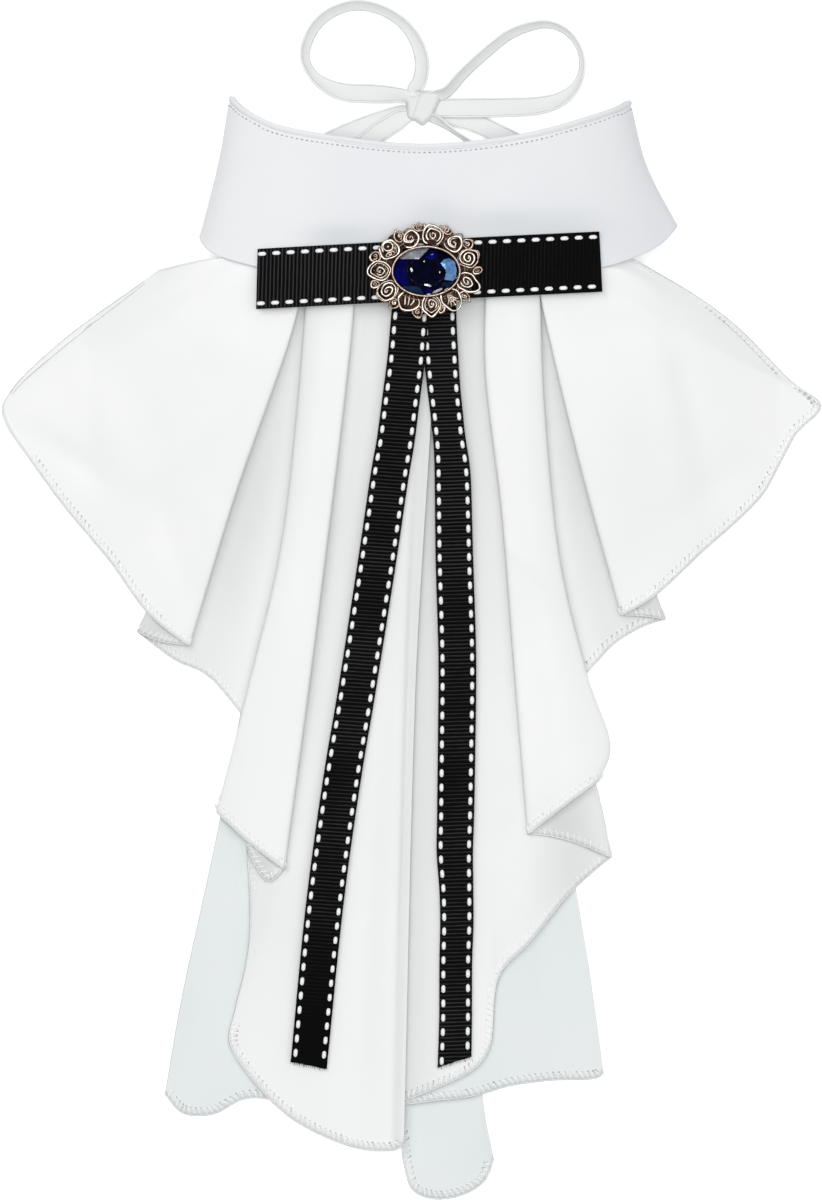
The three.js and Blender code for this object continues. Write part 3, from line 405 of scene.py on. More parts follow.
FRILL_RIGHT = [
    # wing
    row((64, 6.2, 7.6), (74, 5.6, 6), (82, 5.2, 4)),
    row((62.6, 5.4, 8), (78, 2.6, 6.4), (92.4, -0.6, 3)),
    row((61, 4.8, 8.2), (84, -2, 7.2), (108.4, -10, 1)),
    row((59.4, 4.4, 8.2), (91, -9, 7.8), (124.4, -22, 0.6)),
    row((57.8, 4, 8.2), (100, -20, 8), (146, -43.4, 0.4)),
    row((56.2, 3.8, 8.2), (104, -26, 8), (158, -53.2, 0.4)),
    row((54.8, 3.6, 8.2), (99, -32, 8), (148.4, -64, 0.4)),
    row((53.4, 3.4, 8.2), (94, -38, 8.2), (140.8, -78, 0.4)),
    row((52, 3.2, 8.2), (90, -43, 8.4), (135.2, -88, 0.4)),
    row((50.6, 3, 8.2), (84, -49, 8.8), (124.4, -99.2, 0.6)),
    row((48.8, 2.8, 8.2), (78, -54, 9.4), (111.6, -110.4, 2.6)),
    row((46.6, 2.6, 8.2), (69, -62, 10.2), (91.2, -129.2, 5)),
    # first crease
    row((44.4, 2.4, 8.2), (47.6, -16, 8.5), (60.5, -70, 9.6), (78.8, -136.6, 5.4), turn=-1.8),
    # under the wing
    row((46, 2.4, 6.3), (49, -15, 6.5), (64, -66, 7.2), (88, -137, 3), shade=0.7),
    # first outer fold
    row((50.6, 2.4, 6.3), (53, -14, 6.5), (67, -62, 7), (95.6, -138.2, 2.6), turn=-1.8, shade=0.7),
    # second panel
    row((46, 2.4, 4.4), (49, -15, 4.4), (63, -70, 4.8), (86.4, -141.4, 0.6), shade=(0.3, 0.4, 0.6, 0.4)),
    row((43.6, 2.2, 4.4), (46.6, -15, 4.2), (57.6, -80, 4), (75.6, -148, 0.7),
        shade=(0.3, 0.4, 0.55, 0.35)),
    row((41.6, 2.2, 4.4), (44.4, -14, 3.8), (53.6, -90, 3.4), (66.4, -157.6, 1.6),
        shade=(0.3, 0.4, 0.3, 0.2)),
    # inner fold
    row((38, 2.2, 4.4), (40.6, -13, 3.8), (46.8, -98, 3.2), (56.6, -168, 2.4), turn=1.8, shade=0.1),
    # second outer fold
    row((44, 2.2, 6.3), (45.2, -12, 5.9), (47, -52, 5.8), (53.6, -116, 5.8), (64.6, -162, 5.6),
        (73.6, -190, 4.8), (69.2, -202.8, 4.6), turn=1.8, shade=0.2),
    # third panel
    row((34, 2, 8.2), (34.6, -12, 8.2), (43, -112, 8.6), (56, -212.6, 6.4)),
    # second crease
    row((25, 1.6, 8.2), (24.4, -12, 8.2), (24.4, -39.2, 8.2), (31, -96, 8.4), (36.2, -160, 8),
        (41.4, -224, 6.4), turn=-1.8),
    # under the third panel
    row((28.8, 1.7, 6.3), (28.4, -12, 6.3), (34, -108, 6.2), (50.4, -225, 4.2), shade=0.7),
    row((32.2, 1.8, 6.3), (32, -12, 6.3), (38.4, -111, 5.8), (61, -227.8, 3.3), shade=0.7),
    # third outer fold
    row((36, 1.9, 6.3), (36, -12, 6.3), (42, -112, 5.4), (52, -165, 4.2), (67.4, -203, 2.8),
        (74.2, -233.4, 2.5), turn=-1.8, shade=(0.7, 0.7, 0.6, 0.4, 0.3, 0.3)),
    # middle panel
    row((32.4, 1.8, 4.5), (32.2, -12, 4.5), (39.4, -122, 3.7), (58.8, -246.8, 2.2),
        shade=(0.3, 0.4, 0.4, 0.5)),
    row((28.6, 1.6, 4.5), (28, -12, 4.5), (35, -130, 4), (42, -267.2, 3.3), shade=(0.3, 0.4, 0.4, 0)),
    row((24.4, 1.5, 4.5), (23.4, -12, 4.5), (31, -136, 4.1), (29.4, -281, 3.7), shade=(0.3, 0.4, 0.25, 0)),
    row((21, 1.4, 4.5), (20, -13, 4.5), (26, -144, 4.2), (25.4, -310, 3.9), shade=(0.2, 0.4, 0.2, 0)),
    row((16.6, 1.3, 4.5), (16, -14, 4.5), (20.6, -148, 4.3), (19.4, -318.2, 4), shade=(0.2, 0.4, 0.2, 0)),
    row((8.6, 1.1, 4.4), (9, -16, 4.4), (9.6, -150, 4.4), (6, -325, 4.2), shade=(0.2, 0.3, 0.3, 0.1)),
    # hidden edge
    row((0, 1, 4.4), (-1, -16, 4.4), (-8.6, -150, 4.4), (-13, -332.4, 4.2), shade=0.8),
]

# The longer cloths behind them
UNDERLAY_LEFT = [
    # hem
    row((-40, 2, 0.6), (-52, -60, 0.5), (-82.4, -220, 0.4), (-98, -292.8, 0.4), (-104, -328, 0.4)),
    row((-38, 2, 0.6), (-50, -60, 0.5), (-75, -220, 0.4), (-97, -335.6, 0.4)),
    row((-35, 2, 0.6), (-45, -60, 0.5), (-67, -220, 0.6), (-85.2, -336.2, 0.6)),
    row((-31, 2, 0.6), (-40, -60, 0.5), (-58, -220, 0.4), (-72, -330, 0.4)),
    row((-27, 2, 0.6), (-34, -60, 0.5), (-48, -220, 0.4), (-60, -330.4, 0.4)),
    row((-19, 2, 0.6), (-24, -60, 0.5), (-34, -220, 0.4), (-38, -335, 0.4)),
    row((-10, 1.6, 0.6), (-12, -60, 0.5), (-15, -220, 0.4), (-11.8, -341, 0.4)),
    # tab
    row((-6, 1.4, 0.6), (-7, -60, 0.5), (-9, -220, 0.4), (-8, -357, 0.4)),
    row((-3, 1.2, 0.6), (-3.5, -60, 0.5), (-4, -220, 0.4), (-4.8, -366.4, 0.4)),
    row((2, 1.2, 0.6), (2, -60, 0.5), (3, -220, 0.4), (3.6, -370, 0.4)),
    row((8, 1.2, 0.6), (9, -60, 0.5), (11, -220, 0.4), (16, -368, 0.4)),
    row((12, 1.2, 0.6), (13, -60, 0.5), (16, -220, 0.4), (23.8, -362.6, 0.4)),
    row((15, 1.4, 0.6), (16, -60, 0.5), (19, -220, 0.4), (23.2, -330, 0.4), (27.4, -354, 0.4)),
]

UNDERLAY_RIGHT = [
    # hidden edge
    row((-8, 1.4, 2.5), (-9, -60, 2.5), (-11, -220, 2.4), (-12.6, -333, 2.4)),
    # hem
    row((0, 1.2, 2.5), (0, -60, 2.5), (2, -220, 2.4), (3.6, -330.8, 2.4)),
    row((8, 1.2, 2.5), (9, -60, 2.5), (14, -220, 2.4), (19.6, -328.8, 2.4)),
    row((15, 1.4, 2.5), (18, -60, 2.4), (26, -220, 1.9), (33.6, -324.8, 1.8)),
    row((22, 1.6, 2.2), (28, -60, 2.1), (41, -220, 1.2), (50.4, -322.6, 0.6)),
    row((30, 1.8, 2.2), (38, -60, 2.1), (54, -220, 0.7), (68.8, -321.6, 0.4)),
    row((32, 1.8, 2.2), (40.5, -60, 2.1), (56.5, -220, 0.6), (66.4, -283, 0.5), (71.4, -319.6, 0.4)),
]

# Down each tail: x, y, lift and width
TAIL_LEFT = [
    (-5.0, -4, 10.5, 14.8), (-5.7, -14, 10.4, 14.8), (-6.4, -22, 10, 14.9), (-7.4, -34, 9.6, 15),
    (-9.5, -50.4, 9.3, 15), (-11.8, -68, 9.1, 15.1), (-13.9, -80, 9, 15.2), (-18.8, -113, 8.5, 15.2),
    (-27.9, -171, 7.2, 15), (-32.8, -200, 6.8, 15), (-39.8, -250, 6.2, 14.9), (-46.5, -316.8, 4.8, 14.6),
]
TAIL_RIGHT = [
    (5.0, -4, 9.2, 14.4), (5.3, -14, 8.9, 14.2), (5.6, -22, 8.6, 14), (6.4, -34, 8.3, 13.7),
    (7.4, -46, 8.2, 13.2), (8.7, -57.6, 8.1, 12.9), (9.3, -63.6, 8, 12.9), (10.0, -69.6, 8, 13.2),
    (10.6, -75.6, 7.9, 13.9), (11.0, -82, 7.8, 14.4), (11.7, -114, 7.6, 15), (12.9, -155, 7, 15.1),
    (12.6, -190, 6.5, 15), (12.2, -217, 6.3, 14.8), (11.9, -232, 6.2, 14.5), (12.5, -246, 6, 13.6),
    (12.7, -260, 6, 13.3), (12.3, -275, 5.9, 13.1), (12.2, -298, 5.7, 13.1), (11.8, -315.4, 5.6, 13.4),
]

# Each tie in five stretches: its run, its turn hidden in the knot, its loop, the way back through
# the knot and its end. A place is x, y, how high the lower edge lies, and the tilt in degrees.
TIES = dict(
    left=[
        [(-45.4, 48, 0.1, 0), (-40, 51.6, 0.1, 0), (-32, 55.6, 0.1, 0), (-22, 59.6, 0.1, 0),
         (-10.4, 63.4, 0.3, 0)],
        [(-4.6, 65.2, 1.2, 0), (-1.6, 67.4, 2.0, 0), (-4.6, 69.6, 2.8, 4)],
        [(-9.6, 70.9, 2.4, 48), (-15, 71.3, 1.6, 26), (-22, 71.7, 1.2, 10), (-32, 72.3, 0.3, 22),
         (-39.2, 74.8, 0.1, 44), (-44.8, 79.2, 0.1, 62), (-48, 86, 0.1, 64), (-46, 94.8, 0.1, 60),
         (-40.4, 102, 0.1, 60), (-32, 106.2, 0.1, 62), (-24.4, 106.8, 0.1, 62), (-15.6, 104.2, 0.1, 64),
         (-7.8, 98.6, 0.1, 60), (-3, 91.2, 0.1, 50), (-1.2, 83.4, 0.4, 44), (-2.2, 76.6, 1.4, 42),
         (-4.2, 72.8, 2.0, 40)],
        [(-2.6, 69.4, 2.6, 4), (-3.0, 65.6, 2.4, 0), (-5.4, 63.2, 2.1, 0)],
        [(-9.6, 61.6, 1.9, 0), (-14, 59, 1.7, 0), (-20, 55, 1.6, 0), (-25.4, 50, 1.5, 0),
         (-30, 43, 0.1, 0)],
    ],
    right=[
        [(43.4, 48, 0.1, 0), (37, 51.8, 0.1, 0), (30, 55.4, 0.1, 0), (20, 60, 0.1, 0), (6.8, 63.6, 0.3, 0)],
        [(1.8, 65.2, 1.0, 0), (-0.6, 67.6, 1.6, 20), (2.4, 70.6, 2.2, 40)],
        [(8, 71.8, 2.2, 56), (15.4, 79.6, 0.8, 60), (25, 88.4, 0.1, 60), (33.6, 95, 0.1, 62),
         (42, 98.4, 0.1, 66), (49.6, 99.2, 0.1, 72), (56.6, 96.2, 0.1, 76), (61.4, 90, 0.1, 78),
         (62.8, 82.4, 0.1, 76), (60.6, 75.2, 0.1, 66), (54.8, 69.8, 0.2, 46), (46, 67, 0.8, 24),
         (31.6, 66.2, 1.9, 8), (18, 66, 2, 4), (6.8, 65.8, 1.7, 0)],
        [(2.0, 65.0, 1.6, 0), (0.2, 63.6, 1.2, 20), (1.8, 62.4, 0.7, 46)],
        [(4.8, 61, 0.3, 66), (9.6, 57.8, 0.1, 80), (15, 54.2, 0.1, 81), (20.4, 50.2, 0.1, 76),
         (27, 45, 0.1, 60)],
    ],
)

# Camera, floor and light

PICTURE_MIDDLE = (-5.6, -130.8)
PICTURE_LONG = 480
CAMERA_HEIGHT = 5.0
SENSOR = 36
FLOOR_HALF = 6.0
FLOOR_Z = -0.0004
# How bright the studio is at the horizon, half way up and overhead
SKY = (0.34, 0.87, 1.0)
SKY_STRENGTH = 0.38
SKY_TINT = np.array([1, 0.997, 0.992])
FRONT_LIGHT = 1.33
FRONT_ANGLE = 24
# The softboxes: power, size and place, in metres
SOFTBOXES = dict(key=(9.5, 0.9, (-0.65, 0.75, 1.8)), fill=(7.0, 1.2, (0.9, 0.2, 2.0)))


def make_camera():
    data = bpy.data.cameras.new("camera")
    camera = link("camera", data)
    camera.location = CENTRE + np.array([*PICTURE_MIDDLE, 0]) * MM + [0, 0, CAMERA_HEIGHT]
    data.sensor_fit = "AUTO"
    data.sensor_width = SENSOR
    data.lens = SENSOR * CAMERA_HEIGHT / (PICTURE_LONG * MM)
    data.clip_end = 50
    bpy.context.scene.camera = camera


def make_floor(material):
    mesh = bpy.data.meshes.new("floor")
    corners = [(x * FLOOR_HALF, y * FLOOR_HALF, 0) for x, y in ((-1, -1), (1, -1), (1, 1), (-1, 1))]
    mesh.from_pydata(corners, [], [(0, 1, 2, 3)])
    floor = link("floor", mesh)
    floor.location.z = FLOOR_Z
    mesh.materials.append(material)


def make_light():
    world = bpy.data.worlds.new("world")
    bpy.context.scene.world = world
    world.use_nodes = True
    tree = world.node_tree
    background = tree.nodes["Background"]
    kinds = ("TexCoord", "SeparateXYZ", "ValToRGB")
    place, apart, ramp = (tree.nodes.new(f"ShaderNode{kind}") for kind in kinds)
    ramp.color_ramp.elements.new(0.5)
    for element, bright in zip(ramp.color_ramp.elements, SKY):
        element.color = (*(bright * SKY_TINT), 1)
    tree.links.new(place.outputs["Generated"], apart.inputs["Vector"])
    tree.links.new(apart.outputs["Z"], ramp.inputs["Fac"])
    tree.links.new(ramp.outputs["Color"], background.inputs["Color"])
    background.inputs["Strength"].default_value = SKY_STRENGTH
    for name, (power, size, spot) in SOFTBOXES.items():
        data = bpy.data.lights.new(name, "AREA")
        data.energy = power
        data.size = size
        light = link(name, data)
        light.location = spot
        light.rotation_euler = (-Vector(spot)).to_track_quat("-Z", "Y").to_euler()
    front = bpy.data.lights.new("front", "SUN")
    front.energy = FRONT_LIGHT
    front.angle = math.radians(FRONT_ANGLE)
    link("front", front)
    bpy.context.scene.view_settings.view_transform = "Standard"


# Materials

# One period of a wave texture at scale 1, in metres of its coordinate
WAVE_UNIT = math.pi / 10
RIB_PITCH = 1.54


class Nodes:
    """A Principled material and short ways to add the nodes that feed it."""

    def __init__(self, name, colour, roughness, metallic=0.0, **sockets):
        self.material = bpy.data.materials.new(name)
        self.material.use_nodes = True
        self.tree = self.material.node_tree
        self.shader = self.tree.nodes["Principled BSDF"]
        sockets.update(Base_Color=(*colour, 1), Roughness=roughness, Metallic=metallic)
        for socket, value in sockets.items():
            self.shader.inputs[socket.replace("_", " ")].default_value = value

    def add(self, kind, **settings):
        node = self.tree.nodes.new(f"ShaderNode{kind}")
        for key, value in settings.items():
            if key in node.inputs:
                node.inputs[key].default_value = value
            else:
                setattr(node, key, value)
        return node

    def join(self, start, end):
        self.tree.links.new(start, end)

    def coordinates(self, kind="Object", scale=(1, 1, 1)):
        mapping = self.add("Mapping", Scale=scale)
        self.join(self.add("TexCoord").outputs[kind], mapping.inputs["Vector"])
        return mapping.outputs["Vector"]

    def attribute(self, name):
        return self.add("Attribute", attribute_name=name).outputs["Fac"]

    def noise(self, where, scale=1.0, detail=2.0):
        node = self.add("TexNoise", Scale=scale, Detail=detail)
        self.join(where, node.inputs["Vector"])
        return node.outputs["Fac"]

    def waves(self, where, axis, period_mm, distortion):
        scale = WAVE_UNIT / (period_mm * MM)
        node = self.add("TexWave", bands_direction=axis, Scale=scale, Distortion=distortion)
        self.join(where, node.inputs["Vector"])
        return node.outputs["Fac"]

    def maths(self, operation, a, b):
        node = self.add("Math", operation=operation)
        for socket, value in zip(node.inputs, (a, b)):
            if isinstance(value, (int, float)):
                socket.default_value = value
            else:
                self.join(value, socket)
        return node.outputs["Value"]

    def times(self, a, b):
        return self.maths("MULTIPLY", a, b)

    def plus(self, a, b):
        return self.maths("ADD", a, b)

    def ramp(self, factor, *stops):
        node = self.add("ValToRGB")
        elements = node.color_ramp.elements
        while len(elements) < len(stops):
            elements.new(1.0)
        for element, (position, colour) in zip(elements, stops):
            element.position = position
            element.color = (*colour, 1)
        self.join(factor, node.inputs["Fac"])
        return node.outputs["Color"]

    def tint(self, factor, *stops):
        self.join(self.ramp(factor, *stops), self.shader.inputs["Base Color"])

    def bump(self, height, distance, strength):
        node = self.add("Bump", Distance=distance, Strength=strength)
        self.join(height, node.inputs["Height"])
        return node

    def relief(self, height, distance, strength):
        self.join(self.bump(height, distance, strength).outputs["Normal"], self.shader.inputs["Normal"])


def speckled(name, colour, roughness, metallic, noise, *stops, relief=None, **sockets):
    """One noise gives the tone and, where asked for, the relief."""
    look = Nodes(name, colour, roughness, metallic, **sockets)
    spots = look.noise(look.coordinates(), *noise)
    look.tint(spots, *stops)
    if relief:
        look.relief(spots, *relief)
    return look.material


def needle_material(name, low, high):
    """Speckled grey: painted shade in needle holes, between threads and along seams, and the topstitch's
    grey.
    """
    return speckled(name, low, 0.9, 0.0, (500.0, 2.0), (0.35, low), (0.7, high), Specular_IOR_Level=0.1)


def stone_material(name, deep, lit, roughness=0.05, metallic=0.0):
    """A look of the stone; on its lighter facets it is a painted reflection, in the facet's own colour."""
    return speckled(name, deep, roughness, metallic, (420.0, 3.0), (0.4, deep), (0.66, lit), IOR=1.16)


def cloth_material(name, pale, shade, weave_mm=0.42, painted_shade=None):
    """A plain weave on the cloth's own flat coordinates, softly uneven in tone, with painted shade mixed
    in.
    """
    look = Nodes(name, pale, 0.86, Sheen_Weight=0.12, Sheen_Roughness=0.5, Specular_IOR_Level=0.25)
    flat = look.coordinates("UV")
    threads = look.times(look.waves(flat, "X", weave_mm, 0.6), look.waves(flat, "Y", weave_mm, 0.6))
    slubs = look.noise(look.coordinates("UV", (900, 140, 1)), 1.0, 3.0)
    fine = look.bump(look.plus(threads, look.times(slubs, 0.7)), 0.00006, 0.5)
    soft = look.bump(look.noise(look.coordinates(), 55.0, 3.0), 0.0012, 0.25)
    look.join(fine.outputs["Normal"], soft.inputs["Normal"])
    look.join(soft.outputs["Normal"], look.shader.inputs["Normal"])
    tone = look.ramp(look.noise(look.coordinates(), 16.0), (0.35, shade), (0.65, pale))
    # Painted shade: the stored shade attribute mixes the tone toward the darker painted_shade colour.
    if painted_shade:
        mix = look.add("Mix", data_type="RGBA")
        look.join(look.attribute("shade"), mix.inputs["Factor"])
        look.join(tone, mix.inputs["A"])
        mix.inputs["B"].default_value = (*painted_shade, 1)
        tone = mix.outputs["Result"]
    look.join(tone, look.shader.inputs["Base Color"])
    return look.material


def thread_material(name, pale, shade):
    look = Nodes(name, pale, 0.55, Sheen_Weight=0.2, Sheen_Roughness=0.4)
    strands = look.waves(look.coordinates("UV"), "DIAGONAL", 0.9, 0.3)
    look.tint(strands, (0.1, shade), (0.6, pale))
    look.relief(strands, 0.00012, 0.6)
    return look.material


def grosgrain_material():
    """Black ribs across the ribbon: matte valleys, and a faint painted highlight on the crests."""
    look = Nodes("grosgrain_black", (0.002, 0.002, 0.002), 0.7, Specular_IOR_Level=0.06)
    flat = look.coordinates("UV")
    ribs = look.waves(flat, "Y", RIB_PITCH, 0.6)
    fine = look.waves(flat, "X", 0.28, 1.5)
    fleck = look.noise(look.coordinates("UV", (260, 900, 1)))
    patch = look.noise(look.coordinates("UV", (30, 42, 1)), 1.0, 1.0)
    # Painted highlight: the crests of the ribs are coloured lighter, as much as the stored shine says.
    crest = look.times(look.maths("POWER", ribs, 3.0), look.plus(fleck, 0.35))
    crest = look.times(crest, look.plus(look.times(patch, 1.7), 0.1))
    crest = look.times(crest, look.attribute("shine"))
    look.tint(crest, (0.14, (0.0006, 0.0006, 0.0007)), (0.9, (0.030, 0.030, 0.033)))
    look.relief(look.plus(look.times(fine, 0.5), fleck), 0.00008, 0.7)
    return look.material


def antique_material():
    """Rose gold, bright where it stands proud and faces up, dark brown in its recesses and on its sides."""
    look = Nodes("rose_gold_antique", (0.8, 0.6, 0.5), 0.3, 0.35)
    spots = look.noise(look.coordinates(), 1100.0, 4.0)
    # Partly wear and patina; the lighter upward faces are a painted highlight and the dark sides painted
    # shade.
    worn_and_lit = look.plus(look.attribute("wear_and_highlight"), look.times(look.maths("SUBTRACT", spots, 0.5), 0.5))
    look.tint(worn_and_lit, (0.30, (0.008, 0.004, 0.002)), (0.56, (0.20, 0.125, 0.09)), (0.74, (0.62, 0.47, 0.37)),
              (0.9, (1.0, 0.94, 0.86)))
    look.relief(spots, 0.00012, 0.5)
    return look.material


# Tubes, threads and stitches

def tube(line, radius, sides=6, flat=1.0, up=(0, 0, 1), closed=False):
    """Verts, faces and uvs of a tube along a line or loop. flat squeezes it towards up."""
    line = np.asarray(line, float)
    way = unit(np.roll(line, -1, axis=0) - np.roll(line, 1, axis=0)) if closed else tangents(line)
    out = unit(np.cross(np.asarray(up, float) + 0 * way, way))
    rise = np.cross(way, out)
    radii = np.broadcast_to(radius, len(line))[:, None, None]
    turn = circle(sides)
    ring = np.cos(turn)[None, :, None] * out[:, None] + flat * np.sin(turn)[None, :, None] * rise[:, None]
    verts = (line[:, None] + radii * ring).reshape(-1, 3)
    faces = ring_faces(len(line), sides, closed) + ([] if closed else end_caps(len(line), sides))
    if closed:
        return verts, faces, np.zeros((len(verts), 2))
    around = turn * np.mean(radii)
    uvs = np.stack(np.broadcast_arrays(around[None, :], run_along(line)[:, None]), axis=-1).reshape(-1, 2)
    return verts, faces, uvs


def loop(line, radius, sides=8, flat=1.0):
    return tube(line, radius, sides, flat, closed=True)


def stitch(middle, way, normal, length, width, height, steps=7, sides=8):
    """A thread that comes up out of the cloth and goes down again: a low pointed oval."""
    along = np.linspace(-1, 1, steps)
    line = middle + np.outer(along, way) * length / 2
    line = line + np.outer((1 - along ** 2) * height - 0.35 * height, normal)
    radius = width / 2 * np.sqrt(np.maximum(1 - np.abs(along) ** 3.2, 0.02))
    return tube(line, radius, sides, flat=0.55, up=normal)


def sewn_line(points, normals, pitch, length, width, height, offset=0.5):
    """Stitches along a line of points, one for each pitch."""
    points = np.asarray(points, float)
    run = run_along(points)
    parts = []
    for k in range(int(run[-1] / pitch - offset) + 1):
        at = (k + offset) * pitch
        if at + length / 2 > run[-1]:
            break
        way = unit(read_at(at + 0.5, run, points) - read_at(at - 0.5, run, points))
        normal = unit(read_at(at, run, normals))
        parts.append(stitch(read_at(at, run, points), way, normal, length, width, height))
    return parts


# The ties

KNOT_PLACE = (-1.2, 66)
IN_KNOT_WIDTH = 0.45
TIE_SEAM = 0.13
TIE_LOWEST = 0.03
# A tie's section, with a rolled seam near each edge, in half widths and half thicknesses
TIE_SECTION = np.array([
    (-1, 0), (-0.97, -0.8), (-0.86, -1), (-0.74, -0.55), (0, -0.62), (0.74, -0.55), (0.86, -1),
    (0.97, -0.8), (1, 0), (0.97, 0.8), (0.86, 1), (0.74, 0.55), (0, 0.62), (-0.74, 0.55), (-0.86, 1),
    (-0.97, 0.8),
])


def make_tie(side, material, seam_shade):
    """The hidden stretches, second and fourth, are drawn together inside the knot."""
    places = []
    for k, part in enumerate(TIES[side]):
        places += [(*place, IN_KNOT_WIDTH if k in (1, 3) else 1.0) for place in part]
    places = np.array(places, float)
    steps = 8 * (len(places) - 1) + 1
    middle = smooth_line(places[:, :2] @ np.eye(2, 3), steps)
    low, tilt, wide = read_at(np.linspace(0, 1, steps), np.linspace(0, 1, len(places)), places[:, 2:])
    low, tilt, wide = smoothed(low, 7), np.radians(smoothed(tilt, 9)), smoothed(wide, 9)
    way_x, way_y, _ = tangents(middle).T
    side_way = np.stack([-way_y * np.cos(tilt), way_x * np.cos(tilt), np.sin(tilt)], axis=1)
    face = np.stack([way_y * np.sin(tilt), -way_x * np.sin(tilt), np.cos(tilt)], axis=1)
    half_width = wide * TIE_WIDTH / 2
    middle[:, 2] = low + half_width * np.sin(tilt) + TIE_THICK / 2
    aside, above = TIE_SECTION.T[:, None, :, None]
    verts = (middle[:, None] + aside * half_width[:, None, None] * side_way[:, None]
             + above * TIE_THICK / 2 * face[:, None]).reshape(-1, 3)
    verts[:, 2] = np.maximum(verts[:, 2], TIE_LOWEST)
    n = len(TIE_SECTION)
    run = run_along(middle)
    uvs = np.stack(np.broadcast_arrays(TIE_SECTION[None, :, 0] * TIE_WIDTH / 2, run[:, None]), axis=-1)
    tie = to_object(f"tie_{side}", verts, ring_faces(steps, n) + end_caps(steps, n), uvs.reshape(-1, 2))
    recalculate_outward(tie)
    # Painted shade on the flatter stretches of the tie, stored as its shade.
    painted_flat_shade = np.clip(1.5 * (np.cos(tilt) - 0.55), 0, 0.6)
    store(tie, "shade", np.repeat(painted_flat_shade, n))
    finish_piece(tie, material, "white_tie", *(f"tie_{side}_{part}" for part in ("run", "loop", "end")))
    # Painted shade: grey lines along the rolled seam near each edge, on both faces.
    lines = []
    for across in (-0.8, 0.8):
        for face_side in (-1, 1):
            line = middle + across * half_width[:, None] * side_way + face_side * TIE_THICK * 0.36 * face
            line[:, 2] = np.maximum(line[:, 2], TIE_SEAM)
            lines.append(tube(line, TIE_SEAM, 5))
    edge_shades = merged_piece(f"tie_{side}_edges", lines, seam_shade, "white_tie")


KNOT_OUTLINE = [(-6.1, -4.3), (-2.5, -5.6), (0.4, -7.6), (3.9, -4.3), (6.2, 0.2), (7.7, 4), (6.6, 7),
                (-0.4, 7), (-1.6, 5.4), (-6.6, 4.8)]
KNOT_FOLD = np.array([(-1.3, 4.8), (-4.4, -4.7)])
KNOT_RISE = 5.6
KNOT_GROOVE = dict(depth=0.7, reach=0.35)
KNOT_STEP = dict(height=0.5, soft=0.25)


def make_knot(material):
    """The wrapped knot: a flat-topped wrap with a fold across it."""
    turns, rings, blur = 160, 26, 9
    corners = np.array(KNOT_OUTLINE + KNOT_OUTLINE[:1], float)
    run = run_along(corners)
    outline = read_at(np.linspace(0, run[-1], turns, endpoint=False), run, corners).T
    outline = sum(np.roll(outline, k, axis=0) for k in range(-blur // 2 + 1, blur // 2 + 1)) / blur
    fold_x, fold_y = unit(KNOT_FOLD[1] - KNOT_FOLD[0])
    verts = []
    for r in np.linspace(1, 0, rings) ** 0.6:
        flat = outline * r
        aside = (flat - KNOT_FOLD[0]) @ np.array([-fold_y, fold_x])
        groove = KNOT_GROOVE["depth"] * hump(aside, KNOT_GROOVE["reach"])
        groove = groove + KNOT_STEP["height"] * fade(aside, KNOT_STEP["soft"])
        rise = KNOT_RISE * (1 - r ** 7) ** 0.5 - (groove + 0.07 * np.abs(flat[:, 0])) * (1 - r ** 4)
        verts.append(np.column_stack([flat, 0.25 + rise]))
    top = np.concatenate(verts)
    faces = ring_faces(rings, turns) + end_caps(rings, turns)[:1]
    knot = to_object("knot", top + [*KNOT_PLACE, 0], faces, top[:, :2])
    recalculate_outward(knot)
    return finish_piece(knot, material, "white_tie", "tie_knot")


# The collar

COLLAR_EDGE = 2.1
COLLAR_STITCH_DOWN = 3.7
# The hollow above the bar: its depth, the bar's top edge, how far above it the hollow ends and how
# softly, its middle and reach across, and where the front of the collar begins in height
COLLAR_DENT = dict(depth=1.6, bar_top=13.6, above=4.5, soft=2.6, x=6, reach=52, front=15)
COLLAR_STEPS = dict(along=150, fold_steps=1, flat_steps=16)
TOPSTITCH = dict(pitch=2.05, length=1.0, width=0.55, height=0.14)
# Painted shade toward the collar's right end: its depth, where it starts in x, and how softly
COLLAR_RIGHT_SHADE = dict(depth=0.3, x=62, soft=9)
# Places of painted shade on the collar: x, y, reach across, reach up, depth
COLLAR_SHADES = [(-34, 14, 14, 5, 0.6), (32, 19, 22, 6, 0.5), (58, 17, 14, 7, 0.3), (4, 24, 10, 5, 0.3)]


def collar_dent(x, y, z):
    """The pinned bar presses the front of the collar in, which leaves a hollow just above it."""
    dent = COLLAR_DENT
    bar_top = dent["bar_top"] + math.tan(BAR["turn"]) * x
    near = fade(y - bar_top - dent["above"], dent["soft"])
    across = np.exp(-((x - dent["x"]) / dent["reach"]) ** 4)
    return dent["depth"] * near * across * (z > dent["front"])


def collar_shade(x, y, _):
    """Soft painted shade: above the bar beside the brooch, and toward the right end."""
    right = COLLAR_RIGHT_SHADE
    shade = right["depth"] * fade(right["x"] - x, right["soft"])
    for at_x, at_y, reach_x, reach_y, depth in COLLAR_SHADES:
        shade = shade + depth * hump(x - at_x, reach_x) * hump(y - at_y, reach_y)
    return shade


